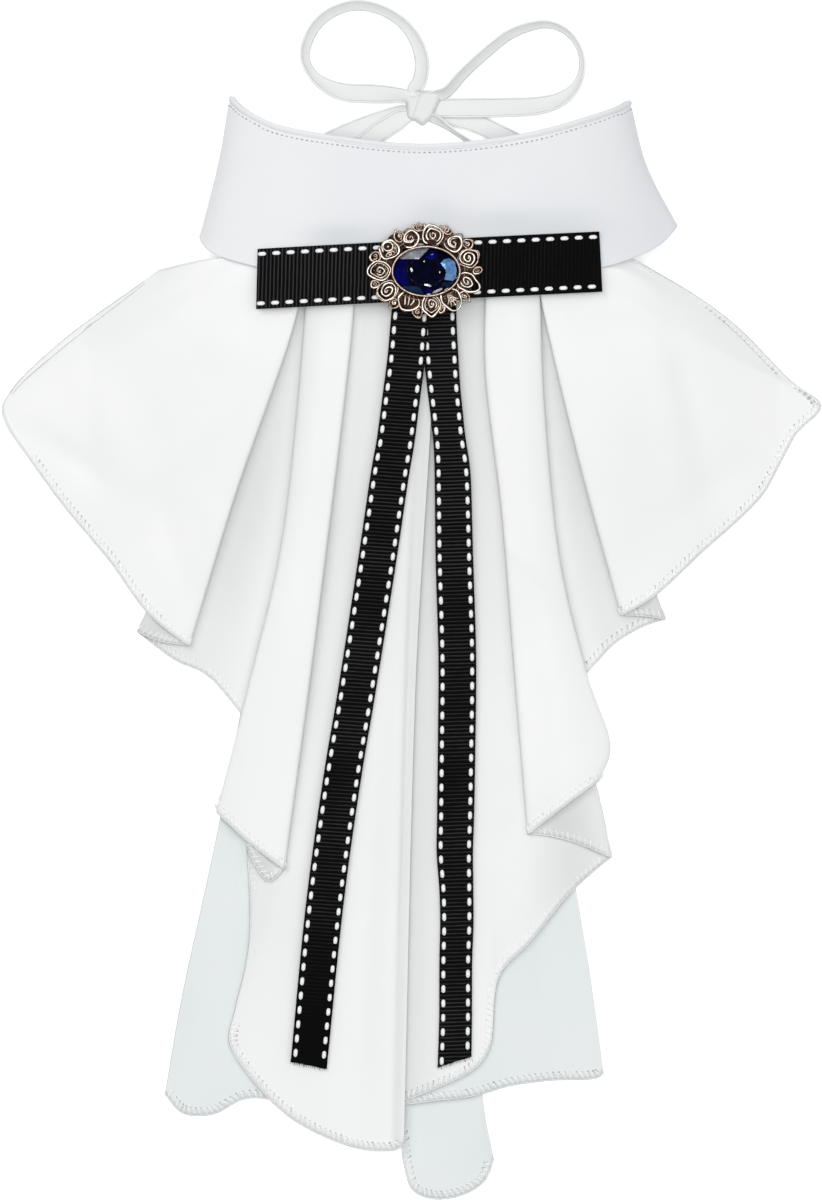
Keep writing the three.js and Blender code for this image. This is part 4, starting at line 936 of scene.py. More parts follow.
def make_collar(material, needles, seam_shade):
    grid, _ = sheet_grid(BAND_SECTIONS, **COLLAR_STEPS)
    down = flat_uvs(grid)[..., 1]
    grid[..., 2] -= collar_dent(*np.moveaxis(grid, -1, 0))
    up_from_low = down[-1][None, :] - down
    edge_line = COLLAR_EDGE + 0.3
    rolled = (1 + 0.55 * hump(down - 1.0, 0.8)) * (1 - 0.6 * hump(down - edge_line, 0.4))
    seated = (1 + 0.2 * hump(up_from_low - 1.0, 0.9)) * (1 - 0.22 * hump(down - COLLAR_STITCH_DOWN, 0.5))
    collar = skin_both_sides("collar", grid, (BAND_THICK * rolled * seated)[..., None])
    shade = collar_shade(*np.moveaxis(grid, -1, 0))
    store(collar, "shade", np.stack([shade, shade]))
    finish_piece(collar, material, "white_cloth", "neck_band")
    columns = np.arange(grid.shape[1])
    sewn, folded = (np.abs(down - depth).argmin(axis=0) for depth in (COLLAR_STITCH_DOWN, edge_line))
    stitches, groove_shades = [], []
    for face in (1, -1):
        ups = grid_normals(grid) * face
        line = (grid + ups * BAND_THICK * 0.42)[sewn, columns]
        stitches += sewn_line(line, ups[sewn, columns], **TOPSTITCH)
        # Painted shade: a grey line in the groove under the rolled top edge.
        groove_shades.append(tube((grid + ups * BAND_THICK * 0.2)[folded, columns], 0.16, 6))
    seam = merged_piece("collar_topstitch", stitches, needles, "white_cloth")
    groove_shade_line = merged_piece("collar_edge_seam_shade", groove_shades, seam_shade, "white_cloth")


# The cascades and the cloth behind them

HEM = dict(width=2.7, pitch=2.35, slant=1.2, thread=0.36, gap=0.13, roll=0.3, outline=0.15)
HEM_TAPER = np.array([0.5, 0.95, 1.0, 1.0, 0.85, 0.5])
# Boxes where the hem shows no stitches, or fainter ones: low x, low y, high x, high y, strength
HEM_FAINT = [
    (-80, -297, -60, -246, 0), (-172, -72, -100, 8, 0), (18, -316, 78, -222, 0.5),
    (-92, -262, -50, -205, 0.65), (40, -236, 84, -180, 0.75), (-118, -180, -70, -140, 0.65),
    (90, -158, 124, -128, 0.6),
]
# Each wing's upper edge: where it starts and ends, and how far it bows outward
WING_EDGES = dict(
    frill_left=((-105.7, 0.6), (-167.2, -49), 2.7),
    frill_right=((80.6, 5.4), (160, -54), 0.3),
)
# The bow of a wing's upper edge leans to its end, and dies out inward
WING_SWELL_LEAN = 1.3
WING_SWELL_REACH = 14
DOUBLE_HEM = dict(outer=0.12, inner=0.9, spread=2.0, radius=0.13, least_bow=0.06)
CASCADE_STEPS = dict(along=110, fold_steps=6, flat_steps=7)
BEHIND_STEPS = dict(along=120, fold_steps=1, flat_steps=12)


def wing_swell(node, grid):
    """The wing's upper edge bows outward. Returns the grid, and how far it bows at each place."""
    start, end, swell = (np.array(value, float) for value in WING_EDGES[node])
    length = np.linalg.norm(end - start)
    along = (end - start) / length
    outward = np.array([-along[1], along[0]]) * np.sign(along[0])
    share = np.clip((grid[..., :2] - start) @ along / length, 0, 1)
    aside = (grid[..., :2] - start) @ outward
    bow = np.sin(np.pi * share ** WING_SWELL_LEAN) * np.exp(np.minimum(aside, 0) / WING_SWELL_REACH)
    return grid + swell * bow[..., None] * [*outward, 0], bow


def hem_line(grid, inward):
    """The hem's line and its normals, so far in from the edge at the end of each row."""
    normals = grid_normals(grid)[-1]
    steps = unit(np.cross(normals, tangents(grid[-1])))
    steps *= np.sign(np.sum(steps * (grid[-1] - grid[-4]), axis=1, keepdims=True))
    return grid[-1] - steps * inward, normals


def hem_strength(point):
    return min([1.0] + [strength for low_x, low_y, high_x, high_y, strength in HEM_FAINT
                        if low_x < point[0] < high_x and low_y < point[1] < high_y])


def double_hem(node, grid):
    """The two lines of a wing's upper hem, where its rolled edge is broad: real seams, grey painted shade.
    """
    _, bow = wing_swell(node, grid[-1])
    keep = bow > DOUBLE_HEM["least_bow"]
    edge, normals = hem_line(grid, 0.0)
    inner, _ = hem_line(grid, 1.0)
    lines = []
    for face in (1, -1):
        for inset in (DOUBLE_HEM["outer"], DOUBLE_HEM["inner"] + DOUBLE_HEM["spread"] * bow[:, None]):
            line = edge + (inner - edge) * inset + normals * face * CLOTH_THICK * 0.46
            lines.append(tube(line[keep], DOUBLE_HEM["radius"]))
    return lines


class Hem:
    """Reads places of a hem: so far along it, a share out from its inner side, and so high."""

    def __init__(self, grid):
        self.edge, self.normals = hem_line(grid, 0.0)
        self.inner, _ = hem_line(grid, HEM["width"])
        self.run = run_along(self.edge)

    def up(self, along, face):
        return unit(read_at(along, self.run, self.normals)) * face

    def spot(self, face, along, out, height):
        spot = read_at(along, self.run, self.inner) * (1 - out) + read_at(along, self.run, self.edge) * out
        return spot + self.up(along, face) * (CLOTH_THICK / 2 + height)


def overlock_thread(hem, face, s, slant, radius):
    """One slanted thread over the hem."""
    places = ((s, 0, -radius * 0.6), (s + 0.1, 0.12, radius * 0.3), (s + slant / 2, 0.55, radius * 0.35),
              (s + slant, 0.98, 0))
    line = smooth_line([hem.spot(face, *place) for place in places], len(HEM_TAPER))
    return tube(line, radius * HEM_TAPER)


def overlock_gap(hem, face, s, slant, faint):
    """Painted shade: a grey line between two threads, and a grey needle hole at its inner end."""
    gap, start = HEM["gap"], s + HEM["pitch"] / 2
    inner_end = hem.spot(face, start, -0.02, gap * 0.2)
    outer_end = hem.spot(face, start + slant * 0.4, 0.45 * faint, gap * 0.1)
    way = unit(read_at(start + 0.5, hem.run, hem.inner) - read_at(start - 0.5, hem.run, hem.inner))
    middle = hem.spot(face, start - 0.2, -0.06, 0)
    hole = stitch(middle, way, hem.up(s, face), 0.95 * faint, 0.5 * faint, 0.12, 5, 6)
    return [tube([inner_end, outer_end], gap * faint, 5), hole]


def overlock(grid):
    """Slanted threads over a hem, painted shade between them and in inner needle holes, and its rolled
    edge.
    """
    hem = Hem(grid)
    dice = np.random.default_rng(len(hem.run))
    threads, gap_shades = [], []
    for s in np.arange(0.6, hem.run[-1] - HEM["pitch"], HEM["pitch"]):
        loose, faint = dice.uniform(-0.35, 0.35), dice.uniform(0.45, 1.15)
        strength = hem_strength(read_at(s, hem.run, hem.edge))
        if strength == 0:
            continue
        for face in (1, -1):
            slant = HEM["slant"] + loose
            threads.append(overlock_thread(hem, face, s, slant, HEM["thread"] * strength ** 0.5))
            gap_shades += overlock_gap(hem, face, s, slant, faint * strength ** 2)
    outward = unit(hem.edge - hem.inner)
    threads.append(tube(hem.edge + outward * 0.05, HEM["roll"]))
    # Painted shade: a thin grey line just outside the rolled edge.
    outline = tube(hem.edge + outward * (0.05 + HEM["roll"]), HEM["outline"])
    return threads, gap_shades, outline


def make_cloth(name, node, rows, steps, materials):
    cloth_look, *hem_looks = materials
    grid, shade = sheet_grid(rows, **steps)
    grid[..., 2] = np.maximum(over_bed(*np.moveaxis(grid, -1, 0)), CLOTH_THICK / 2 + JUST_ABOVE)
    if node in WING_EDGES:
        grid, _ = wing_swell(node, grid)
    cloth = skin_both_sides(name, grid, CLOTH_THICK)
    store(cloth, "shade", np.stack([shade, shade]))
    finish_piece(cloth, cloth_look, "white_cloth", node)
    threads, gap_shades, outline = overlock(grid)
    lines = [outline] + (double_hem(node, grid) if node in WING_EDGES else [])
    kinds = zip(("hem", "needle_shade_line", "edge_line"), (threads, gap_shades, lines), hem_looks)
    pieces = [merged_piece(f"{name}_{kind}", parts, look, "white_cloth") for kind, parts, look in kinds]


# The ribbons

STITCH = dict(pitch=5.75, length=3.5, width=1.65, height=0.5)
RIB_RISE = 0.13
RIBS_FROM_STITCH = 0.95
END_SHARE = 0.93
BAR_SLANT = 1.8
BAR_SLANT_REACH = 9
BAR_STEPS = (361, 31)
TAIL_STEPS = (860, 21)
# How far along each ribbon, and how bright the painted highlight on its ribs is there
SHINE = dict(
    bar=[(0, 1.7), (0.3, 1.4), (0.55, 0.6), (0.8, 0.3), (1, 0.4)],
    tail_left=[(0, 1.0), (0.45, 1.0), (0.8, 0.75), (0.93, 0.2), (1, 0.05)],
    tail_right=[(0, 1.3), (0.3, 1.5), (0.5, 0.8), (0.8, 0.9), (1, 1.1)],
)


def tail_grid(middle, end_slant):
    """A flat ribbon: middle is (x, y, lift, width) down its length. Its end is cut aslant and frays."""
    steps, across = TAIL_STEPS
    line = even_line(np.array(middle, float), steps)
    way = tangents(line[:, :2])[:, None]
    sides = np.linspace(-0.5, 0.5, across)
    near_end = np.clip((np.arange(steps) / (steps - 1) - END_SHARE) / (1 - END_SHARE), 0, 1)[:, None] ** 2
    ragged = np.zeros((steps, across))
    ragged[-2:] = np.random.default_rng(7).uniform(-0.3, 0.1, across)
    onward = near_end * sides * end_slant + ragged
    aside = sides * line[:, 3:4]
    x = line[:, None, 0] - aside * way[..., 1] + onward * way[..., 0]
    y = line[:, None, 1] + aside * way[..., 0] + onward * way[..., 1]
    return np.stack([x, y, over_bed(x, y, line[:, None, 2])], axis=-1)


def bar_grid():
    steps, across = BAR_STEPS
    along = np.linspace(-0.5, 0.5, steps)[:, None] * BAR["length"]
    side = np.linspace(-0.5, 0.5, across)[None, :] * BAR["width"]
    x = BAR["x"] + along * math.cos(BAR["turn"]) - side * math.sin(BAR["turn"])
    y = BAR["y"] + along * math.sin(BAR["turn"]) + side * math.cos(BAR["turn"])
    near_left = np.clip(1 - (along + BAR["length"] / 2) / BAR_SLANT_REACH, 0, 1) ** 2
    x = x + near_left * side / BAR["width"] * BAR_SLANT
    return np.stack([x, y, front_height(x, y) + BAR["over"]], axis=-1)


def frayed_end(grid):
    """Short loose threads at the cut end of a ribbon."""
    dice = np.random.default_rng(11)
    threads = []
    for near, back, end in zip(grid[-4], grid[-8], grid[-1]):
        onward = unit(end - back)
        aside = np.cross(onward, (0, 0, 1.0)) * dice.uniform(-0.5, 0.5)
        reach = dice.uniform(0.3, 1.1)
        line = [near, end, end + (onward + aside * 0.4) * reach * 0.6, end + (onward + aside) * reach]
        threads.append(tube(smooth_line(line, 7), 0.09, 5))
    return threads


def make_ribbon(name, node, grid, materials, start, inset, frayed=True):
    """Ribs in the middle, smooth selvedges, and a row of saddle stitches near each edge."""
    uvs = flat_uvs(grid)
    run, across = uvs[..., 1], uvs[..., 0] - uvs[:, :1, 0]
    width = across[:, -1:]
    from_edge = np.minimum(across, width - across)
    ribs = np.cos(2 * np.pi * run / RIB_PITCH)
    inside = np.clip((from_edge - inset - RIBS_FROM_STITCH) / 0.5, 0, 1)
    thickness = RIBBON_THICK * np.clip(0.75 + from_edge / 0.8, 0, 1) + RIB_RISE * ribs * inside
    thickness -= 0.16 * hump(from_edge - inset, 0.6)
    ribbon = skin_both_sides(name, grid, thickness[..., None])
    shine = np.interp(run / run.max(), *np.array(SHINE[name], float).T)
    store(ribbon, "shine", np.stack([shine, shine]))
    finish_piece(ribbon, materials["ribbon"], "black_grosgrain", node)
    normals = grid_normals(grid)
    normals *= np.where(normals[..., 2:] < 0, -1, 1)
    parts = []
    for first, last in ((0, -1), (-1, 0)):
        line = grid[:, first] + (grid[:, last] - grid[:, first]) * inset / width
        line += normals[:, first] * RIBBON_THICK * 0.42
        parts += sewn_line(line, normals[:, first], **STITCH, offset=start)
    pieces = [merged_piece(f"{name}_stitches", parts, materials["stitch"], "black_grosgrain")]
    if frayed:
        fray = merged_piece(f"{name}_fray", frayed_end(grid), materials["ribbon"], "black_grosgrain")
        pieces.append(fray)


# The brooch, drawn flat at its own centre and tipped onto the bar

BROOCH_OVER = 5.6
BROOCH_TILT = -math.atan(BAND_SLOPE)
WIRE = 0.45
FINE_WIRE = 0.3
BEZEL = dict(x=0.4, y=-0.9, width=26.8, height=19.8, z=3.6, wire=0.62)
PLATE = dict(width=41.2, height=34.4, lobes=11, lobe_depth=0.045)
# Across the plate's ring: share of the full size, and height
PLATE_SECTION = [(0.62, 0.5), (0.62, 2.0), (0.8, 2.3), (0.97, 1.6), (1.0, 1.2), (0.97, 0.6)]
# The wire and the ring of grains between the stone and the wreath
INNER_WIRE = dict(width=31.6, height=24.6, count=96, z=2.4)
INNER_GRAINS = dict(width=33.4, height=26.4, count=58, z=2.5)
INNER_GRAIN = 0.42
WREATH_SHARE = np.array([0.975, 0.955])
WREATH_SHIFT = (-0.2, -0.4)
BEND = 0.23
BEND_PER_MM = 0.9
# Each motif of the wreath: its kind, its centre, its radius and the way it faces, in degrees
WREATH = [
    ("rosette", -18.2, -0.1, 4.4, 180), ("spiral", -15.0, -8.5, 4.3, 215), ("leaf", -6.4, -12.7, 4.1, 250),
    ("rosette", 2.7, -14.2, 4.2, 270), ("fan", 10.9, -11.9, 4.4, 300), ("paisley", 17.2, -4.9, 4.3, 330),
    ("spiral", 17.9, 5.2, 4.2, 20), ("scroll", 12.1, 11.6, 4.2, 55), ("double", 3.3, 14.7, 4.3, 85),
    ("scroll", -5.8, 13.4, 4.1, 112), ("ring", -14.3, 8.9, 4.6, 148),
    ("loop", -20.0, 5.6, 2.2, 160), ("loop", -20.4, -6.0, 1.8, 200), ("bud", -12.6, -13.9, 1.9, 228),
    ("bud", -2.6, -17.2, 2.1, 262), ("loop", 7.0, -16.2, 1.5, 285), ("bud", 16.4, -11.0, 2.0, 322),
    ("loop", 21.4, -0.1, 1.7, 0), ("bud", 17.6, 11.2, 2.0, 35), ("petals", 7.9, 15.8, 2.2, 65),
    ("petals", -2.0, 17.0, 2.2, 98), ("bud", -10.4, 14.4, 2.1, 125),
]


def onto_bar(verts):
    """From the brooch's own plane to where it sits on the bar."""
    c, s = math.cos(BROOCH_TILT), math.sin(BROOCH_TILT)
    x, y, z = np.moveaxis(np.asarray(verts, float), -1, 0)
    return np.stack([x, y * c - z * s, y * s + z * c + front_height(0, 0) + BROOCH_OVER], axis=-1)


def oval(width, height, count, z=0.0):
    turn = circle(count)
    return np.stack([width / 2 * np.cos(turn), height / 2 * np.sin(turn), np.full(count, z)], axis=1)


def bead(x, y, z, radius, rings=5, sides=8):
    """A small ball: rings of points between two poles."""
    polar = np.pi * np.arange(1, rings) / rings
    verts = [oval(2 * math.sin(p), 2 * math.sin(p), sides, math.cos(p)) for p in polar]
    verts = np.concatenate([[(0, 0, 1)], *verts, [(0, 0, -1)]]) * radius + [x, y, z]
    faces = [[1 + k for k in face] for face in ring_faces(rings - 1, sides)]
    last, end = 1 + (rings - 2) * sides, len(verts) - 1
    for k in range(sides):
        after = (k + 1) % sides
        faces += [[0, 1 + k, 1 + after], [end, last + after, last + k]]
    return verts, faces, np.zeros((len(verts), 2))


def spiral(turns, start, radius, inner, low, high, count):
    """A scroll that winds in from its outline, rising towards its eye."""
    t = np.linspace(0, 1, count)
    angle = start + turns * 2 * np.pi * t
    r = radius * (1 - t) + inner * t
    return np.stack([r * np.cos(angle), r * np.sin(angle), low + (high - low) * t], axis=1)


def placed(line, x, y, turn):
    along, across, z = line.T
    c, s = math.cos(turn), math.sin(turn)
    return np.stack([x + along * c - across * s, y + along * s + across * c, z], axis=1)


def teardrop(radius, point, count):
    turn = circle(count)
    reach = 1 + point * np.maximum(np.cos(turn), 0) ** 6
    return np.stack([radius * reach * np.cos(turn), 0.92 * radius * np.sin(turn), 0 * turn + 3.1], axis=1)


# What a motif is made of. Each takes the motif's radius r, and sizes as shares of it.

def drop(r, share, point=0.28, wire=WIRE, lift=0.0, count=40, sides=8):
    return [loop(teardrop(r * share, point, count) + [0, 0, lift], wire, sides)]


def coil(r, turns, start, outer, inner, low, high, count, wire=FINE_WIRE, sides=6, aside=0.0):
    line = spiral(turns, start, r * outer, r * inner, low, high, count)
    return [tube(line + [r * aside, 0, 0], wire, sides)]


def hoop(r, width, height, count, z, wire, x=0.0, y=0.0):
    return [loop(oval(r * width, r * height, count, z) + [r * x, r * y, 0], wire, 7)]


def dot(r, size, z, x=0.0, y=0.0):
    return [bead(r * x, r * y, z, r * size)]


def grains(r, count, reach, size):
    return [bead(r * reach * math.cos(a), r * reach * math.sin(a), 3.0, size, 4, 7) for a in circle(count)]


def lobes(r, turns, size, point, count, lift, x, y, wire, sides):
    lobe = teardrop(r * size, point, count) + [0, 0, lift]
    return [loop(placed(lobe, r * x * math.cos(a), r * y * math.sin(a), a), wire, sides) for a in turns]


def veins(r):
    parts = []
    for k in (-0.42, 0, 0.42):
        line = [(-0.7 * r, 0.7 * k * r, 2.8), (-0.1 * r, k * r, 3.5), (0.5 * r, 0.75 * k * r, 3.4)]
        parts.append(tube(smooth_line(line, 12), np.linspace(WIRE * 0.6, WIRE, 12)))
    return parts


def fan_ribs(r):
    parts = []
    for a in np.linspace(-1.1, 1.1, 5):
        x, y = r * math.cos(a), r * math.sin(a)
        line = [(-r * 0.55, 0, 2.9), (x * 0.1, y * 0.4, 3.6), (x * 0.72, y * 0.72, 3.2)]
        parts.append(tube(smooth_line(line, 12), FINE_WIRE * 1.15))
    return parts


PETAL_TURNS = (-0.85, 0, 0.85)
MOTIFS = dict(
    rosette=[(drop, 0.93), (drop, 0.7, 0.2, FINE_WIRE * 0.9, 0.2, 40, 6), (grains, 9, 0.55, 0.26),
             (coil, 1.25, 0.8, 0.46, 0.16, 3.2, 3.9, 40, WIRE * 0.75), (dot, 0.13, 3.7),
             (coil, 0.8, 3.9, 0.3, 0.1, 3.2, 3.8, 24, FINE_WIRE, 6, 0.12)],
    spiral=[(coil, 2.3, -0.6, 0.94, 0.14, 3.0, 4.0, 72, WIRE * 0.95, 7),
            (drop, 0.97, 0.1, FINE_WIRE * 1.2, -0.4), (dot, 0.14, 3.9)],
    scroll=[(coil, 1.3, 2.2, 0.93, 0.4, 3.0, 3.9, 44, WIRE * 1.1, 7), (grains, 7, 0.7, 0.28),
            (coil, 1.2, 0.2, 0.46, 0.1, 3.2, 3.9, 34, WIRE * 0.75), (dot, 0.15, 3.8, 0.1),
            (drop, 0.9, 0.1, FINE_WIRE, -0.8)],
    double=[(coil, 0.86, -2.6, 0.95, 0.92, 3.1, 3.2, 40, WIRE, 7), (grains, 5, 0.8, 0.26),
            (coil, 0.8, -2.4, 0.66, 0.6, 3.3, 3.5, 32, WIRE * 0.85, 7),
            (coil, 1.3, 0.9, 0.36, 0.08, 3.3, 4.0, 28, FINE_WIRE * 1.1)],
    ring=[(coil, 1.1, 0.4, 0.92, 0.66, 3.0, 3.5, 44, WIRE * 1.05, 7),
          (hoop, 0.8, 0.8, 26, 3.6, WIRE * 0.85, 0.22, -0.12), (grains, 8, 0.78, 0.27),
          (dot, 0.12, 3.5, 0.22, -0.12),
          (lobes, (-0.9, -0.2, 0.5, 1.1), 0.19, 0.5, 14, 0, -0.42, 0.46, FINE_WIRE * 0.85, 5)],
    leaf=[(coil, 0.72, -2.3, 1, 1, 3.2, 3.2, 34, WIRE, 7), (veins,), (drop, 0.98, 0.1, FINE_WIRE, -0.7)],
    fan=[(drop, 0.96, 0.15), (fan_ribs,), (coil, 1.4, 3.0, 0.34, 0.06, 3.3, 4.0, 26)],
    paisley=[(drop, 0.92, 0.45, WIRE * 1.05), (coil, 1.7, 3.6, 0.6, 0.12, 3.2, 3.9, 40, WIRE * 0.9, 7),
             (dot, 0.16, 3.8, 0.12)],
    loop=[(hoop, 1.9, 1.7, 24, 2.8, WIRE), (coil, 0.9, 1.0, 0.5, 0.3, 2.7, 3.1, 20), (dot, 0.2, 2.7)],
    bud=[(drop, 1, 0.22, FINE_WIRE * 1.35, -0.3, 24, 6), (coil, 1.2, 2.6, 0.55, 0.12, 2.9, 3.3, 22),
         (dot, 0.24, 3.0), (dot, 0.24, 2.7, 0.9)],
    petals=[(lobes, PETAL_TURNS, 0.55, 0.4, 18, -0.2, 0.62, 0.62, FINE_WIRE * 1.2, 6), (dot, 0.3, 2.9),
            *((dot, 0.2, 2.8, 0.62 * math.cos(a), 0.62 * math.sin(a)) for a in PETAL_TURNS)],
)


def hand_bent(verts):
    """The small unevenness of wire that was bent by hand."""
    x, y, _ = verts.T
    away_x = np.sin(BEND_PER_MM * y + 1.3) + 0.6 * np.sin(1.7 * BEND_PER_MM * x + 0.4 * y)
    away_y = np.sin(BEND_PER_MM * x + 0.5) + 0.6 * np.sin(1.6 * BEND_PER_MM * y - 0.5 * x + 2.0)
    away_z = 0.5 * np.sin(0.8 * x + 1.1 * y)
    return verts + BEND * np.stack([away_x, away_y, away_z], axis=1)


def filigree():
    parts = []
    for kind, x, y, radius, degrees in WREATH:
        middle = np.array([x, y]) * WREATH_SHARE + WREATH_SHIFT
        for shape, *values in MOTIFS[kind]:
            for verts, faces, uvs in shape(radius, *values):
                parts.append((hand_bent(placed(verts, *middle, math.radians(degrees))), faces, uvs))
    parts.append(loop(oval(**INNER_WIRE), FINE_WIRE * 1.1, 6))
    parts += [bead(*place, INNER_GRAIN, 4, 7) for place in oval(**INNER_GRAINS)]
    return merged(parts)


def plate_mesh():
    """The dark pierced backing under the wreath: a scalloped ring."""
    count = 240
    swell = 1 + PLATE["lobe_depth"] * np.cos(PLATE["lobes"] * circle(count) + 0.3)
    scallops = np.stack([swell, swell, np.ones(count)], axis=1)
    full = oval(PLATE["width"], PLATE["height"], count) * scallops
    verts = np.concatenate([full * share + [0, 0, z] for share, z in PLATE_SECTION])
    return verts, ring_faces(len(PLATE_SECTION), count, closed=True), verts[:, :2]


def mark_wear_and_highlight(obj, low, high):
    """Stores how proud and upward each vertex stands, from 0 to 1: the metal's wear and painted highlight.
    """
    vertices = obj.data.vertices
    normals, places = np.empty((2, len(vertices) * 3))
    vertices.foreach_get("normal", normals)
    vertices.foreach_get("co", places)
    _, y, z = (places.reshape(-1, 3) - CENTRE).T / MM
    height = (z - front_height(0, 0) + BAND_SLOPE * y - BROOCH_OVER - low) / (high - low)
    upward = np.clip(normals[2::3], 0, 1)
    store(obj, "wear_and_highlight", np.clip(upward ** 1.5 * (0.35 + 0.65 * np.clip(height, 0, 1)), 0, 1))


def brooch_piece(name, part, material, wear_and_highlight, *nodes):
    verts, faces, uvs = part
    obj = to_object(name, onto_bar(verts), faces, uvs)
    recalculate_outward(obj)
    if wear_and_highlight:
        mark_wear_and_highlight(obj, *wear_and_highlight)
    finish_piece(obj, material, "antique_metal", *nodes)


def make_brooch(materials):
    bezel_line = oval(BEZEL["width"], BEZEL["height"], 120, BEZEL["z"]) + [BEZEL["x"], BEZEL["y"], 0]
    brooch_piece("brooch_filigree", filigree(), materials["metal"], (1.8, 3.6), "brooch_frame")
    brooch_piece("brooch_bezel", loop(bezel_line, BEZEL["wire"], 12, 1.5), materials["metal"], (3.0, 5.4))
    brooch_piece("brooch_plate", plate_mesh(), materials["patina"], None)


# The stone. Its crown is the lowest of the planes around it. A facet with a painted reflection, lighter or
# deeper in tone, has its outline here, and the small painted glints are ovals: x, y, width, height and turn
# in degrees.
STONE = dict(x=0.5, y=-0.1, width=25.6, height=19.0, girdle=3.0, crown=6.4, table=5.6)
STONE_DROP = -0.9
STONE_STEPS = dict(count=220, rings=56)
# Below the crown: share of the full size, and height
STONE_UNDERSIDE = np.array([(0.7, 0.7), (0.98, 2.3), (1.0, 3.0)])
STONE_PLANES = [5, 50, 96, 142, 180, 222, 268, 316]
STONE_FACETS = [
    ("painted_reflection", [(-10.6, 5.0), (-9.6, 6.6), (-4.0, 8.9), (1.7, 9.4), (-2.5, 4.6), (-9.6, 5.0)]),
    ("painted_reflection_blue", [(6.1, 2.9), (7.5, 4.6), (9.7, 5.3), (11.7, 3.9), (12.5, 0.4), (12.2, -2.7), (10.9, -3.8),
                   (7.7, -3.5), (8.4, -0.9), (8.0, 0.7)]),
    ("teal", [(-9.0, -5.9), (-2.5, -6.3), (-0.4, -9.3), (-4.3, -9.6), (-7.6, -8.2)]),
    ("teal", [(7.0, -4.6), (11.4, -4.4), (9.4, -6.6), (6.2, -6.0)]),
    ("deep_blue", [(-12.6, 2.6), (-9.8, 4.6), (-7.2, 3.0), (-7.8, -1.0), (-6.0, -5.6), (-9.2, -5.6),
                   (-12.0, -2.6)]),
    ("deep_blue", [(0.0, 5.2), (2.6, 8.6), (5.4, 6.6), (3.4, 4.6)]),
    ("deep_blue", [(-0.4, -7.0), (3.8, -7.4), (2.2, -9.4), (0.4, -9.4)]),
]
STONE_GLINTS = [
    (-5.4, 0.4, 0.9, 1.7, 15), (1.1, -5.8, 2.8, 0.9, -18), (4.9, -7.8, 4.4, 0.95, 26),
    (-0.4, 3.7, 0.7, 0.5, 0), (2.8, 6.6, 0.9, 0.4, 30), (5.8, -0.6, 0.5, 0.7, 0),
]
STONE_LOOKS = ["stone", "painted_reflection", "painted_reflection_blue", "teal", "deep_blue", "glint"]


def stone_height(x, y):
    turns = np.radians(STONE_PLANES)
    share_x, share_y = 2 * x / STONE["width"], 2 * y / STONE["height"]
    reach = np.outer(share_x, np.cos(turns)) + np.outer(share_y, np.sin(turns))
    planes = STONE["girdle"] + STONE["crown"] * (1 - reach)
    return np.minimum(planes.min(axis=-1), STONE["table"])


def inside_outline(x, y, outline):
    """Whether each point lies inside a polygon."""
    inside = np.zeros(len(x), bool)
    for (x0, y0), (x1, y1) in zip(outline, outline[1:] + outline[:1]):
        at = x0 + (y - y0) * (x1 - x0) / (y1 - y0 if y1 != y0 else 1e-9)
        inside ^= ((y0 > y) != (y1 > y)) & (x < at)
    return inside


def inside_oval(x, y, middle_x, middle_y, width, height, degrees):
    a, b = turned_from(x, y, middle_x, middle_y, degrees)
    return (2 * a / width) ** 2 + (2 * b / height) ** 2 < 1


def stone_points(count, rings):
    """The stone drawn flat, from its underside to its table, and which points are on the crown."""
    shares = np.concatenate([STONE_UNDERSIDE[:, 0], np.linspace(0.995, 0.004, rings)])
    full = oval(STONE["width"], STONE["height"], count)
    points = np.concatenate([full * share for share in shares])
    crown = np.arange(len(points)) >= len(STONE_UNDERSIDE) * count
    points[~crown, 2] = np.repeat(STONE_UNDERSIDE[:, 1], count)
    points[crown, 2] = stone_height(*points[crown, :2].T)
    return points, crown


def facet_looks(x, y, on_crown):
    """Which of the stone's looks each face has, from where its middle lies."""
    looks = np.zeros(len(x), dtype=np.int32)
    for name, outline in STONE_FACETS:
        looks[inside_outline(x, y, outline) & on_crown] = STONE_LOOKS.index(name)
    for glint in STONE_GLINTS:
        looks[inside_oval(x, y, *glint) & on_crown] = STONE_LOOKS.index("glint")
    return looks


def make_stone(materials):
    flat, crown = stone_points(**STONE_STEPS)
    count = STONE_STEPS["count"]
    around = ring_faces(len(flat) // count, count)
    faces = around + end_caps(len(flat) // count, count)
    middle = [STONE["x"], STONE["y"] + STONE_DROP, 0]
    stone = to_object("stone", onto_bar(flat + middle), faces, flat[:, :2], smooth=False)
    recalculate_outward(stone)
    finish_piece(stone, materials["stone"], "blue_stone", "brooch_stone")
    for name in STONE_LOOKS[1:]:
        stone.data.materials.append(materials[name])
    x, y, _ = flat[np.array(around)].mean(axis=1).T
    looks = facet_looks(x + STONE["x"], y + STONE["y"], crown[:len(x)])
    stone.data.polygons.foreach_set("material_index", np.append(looks, [0, 0]).astype(np.int32))


# Making it all

make_camera()

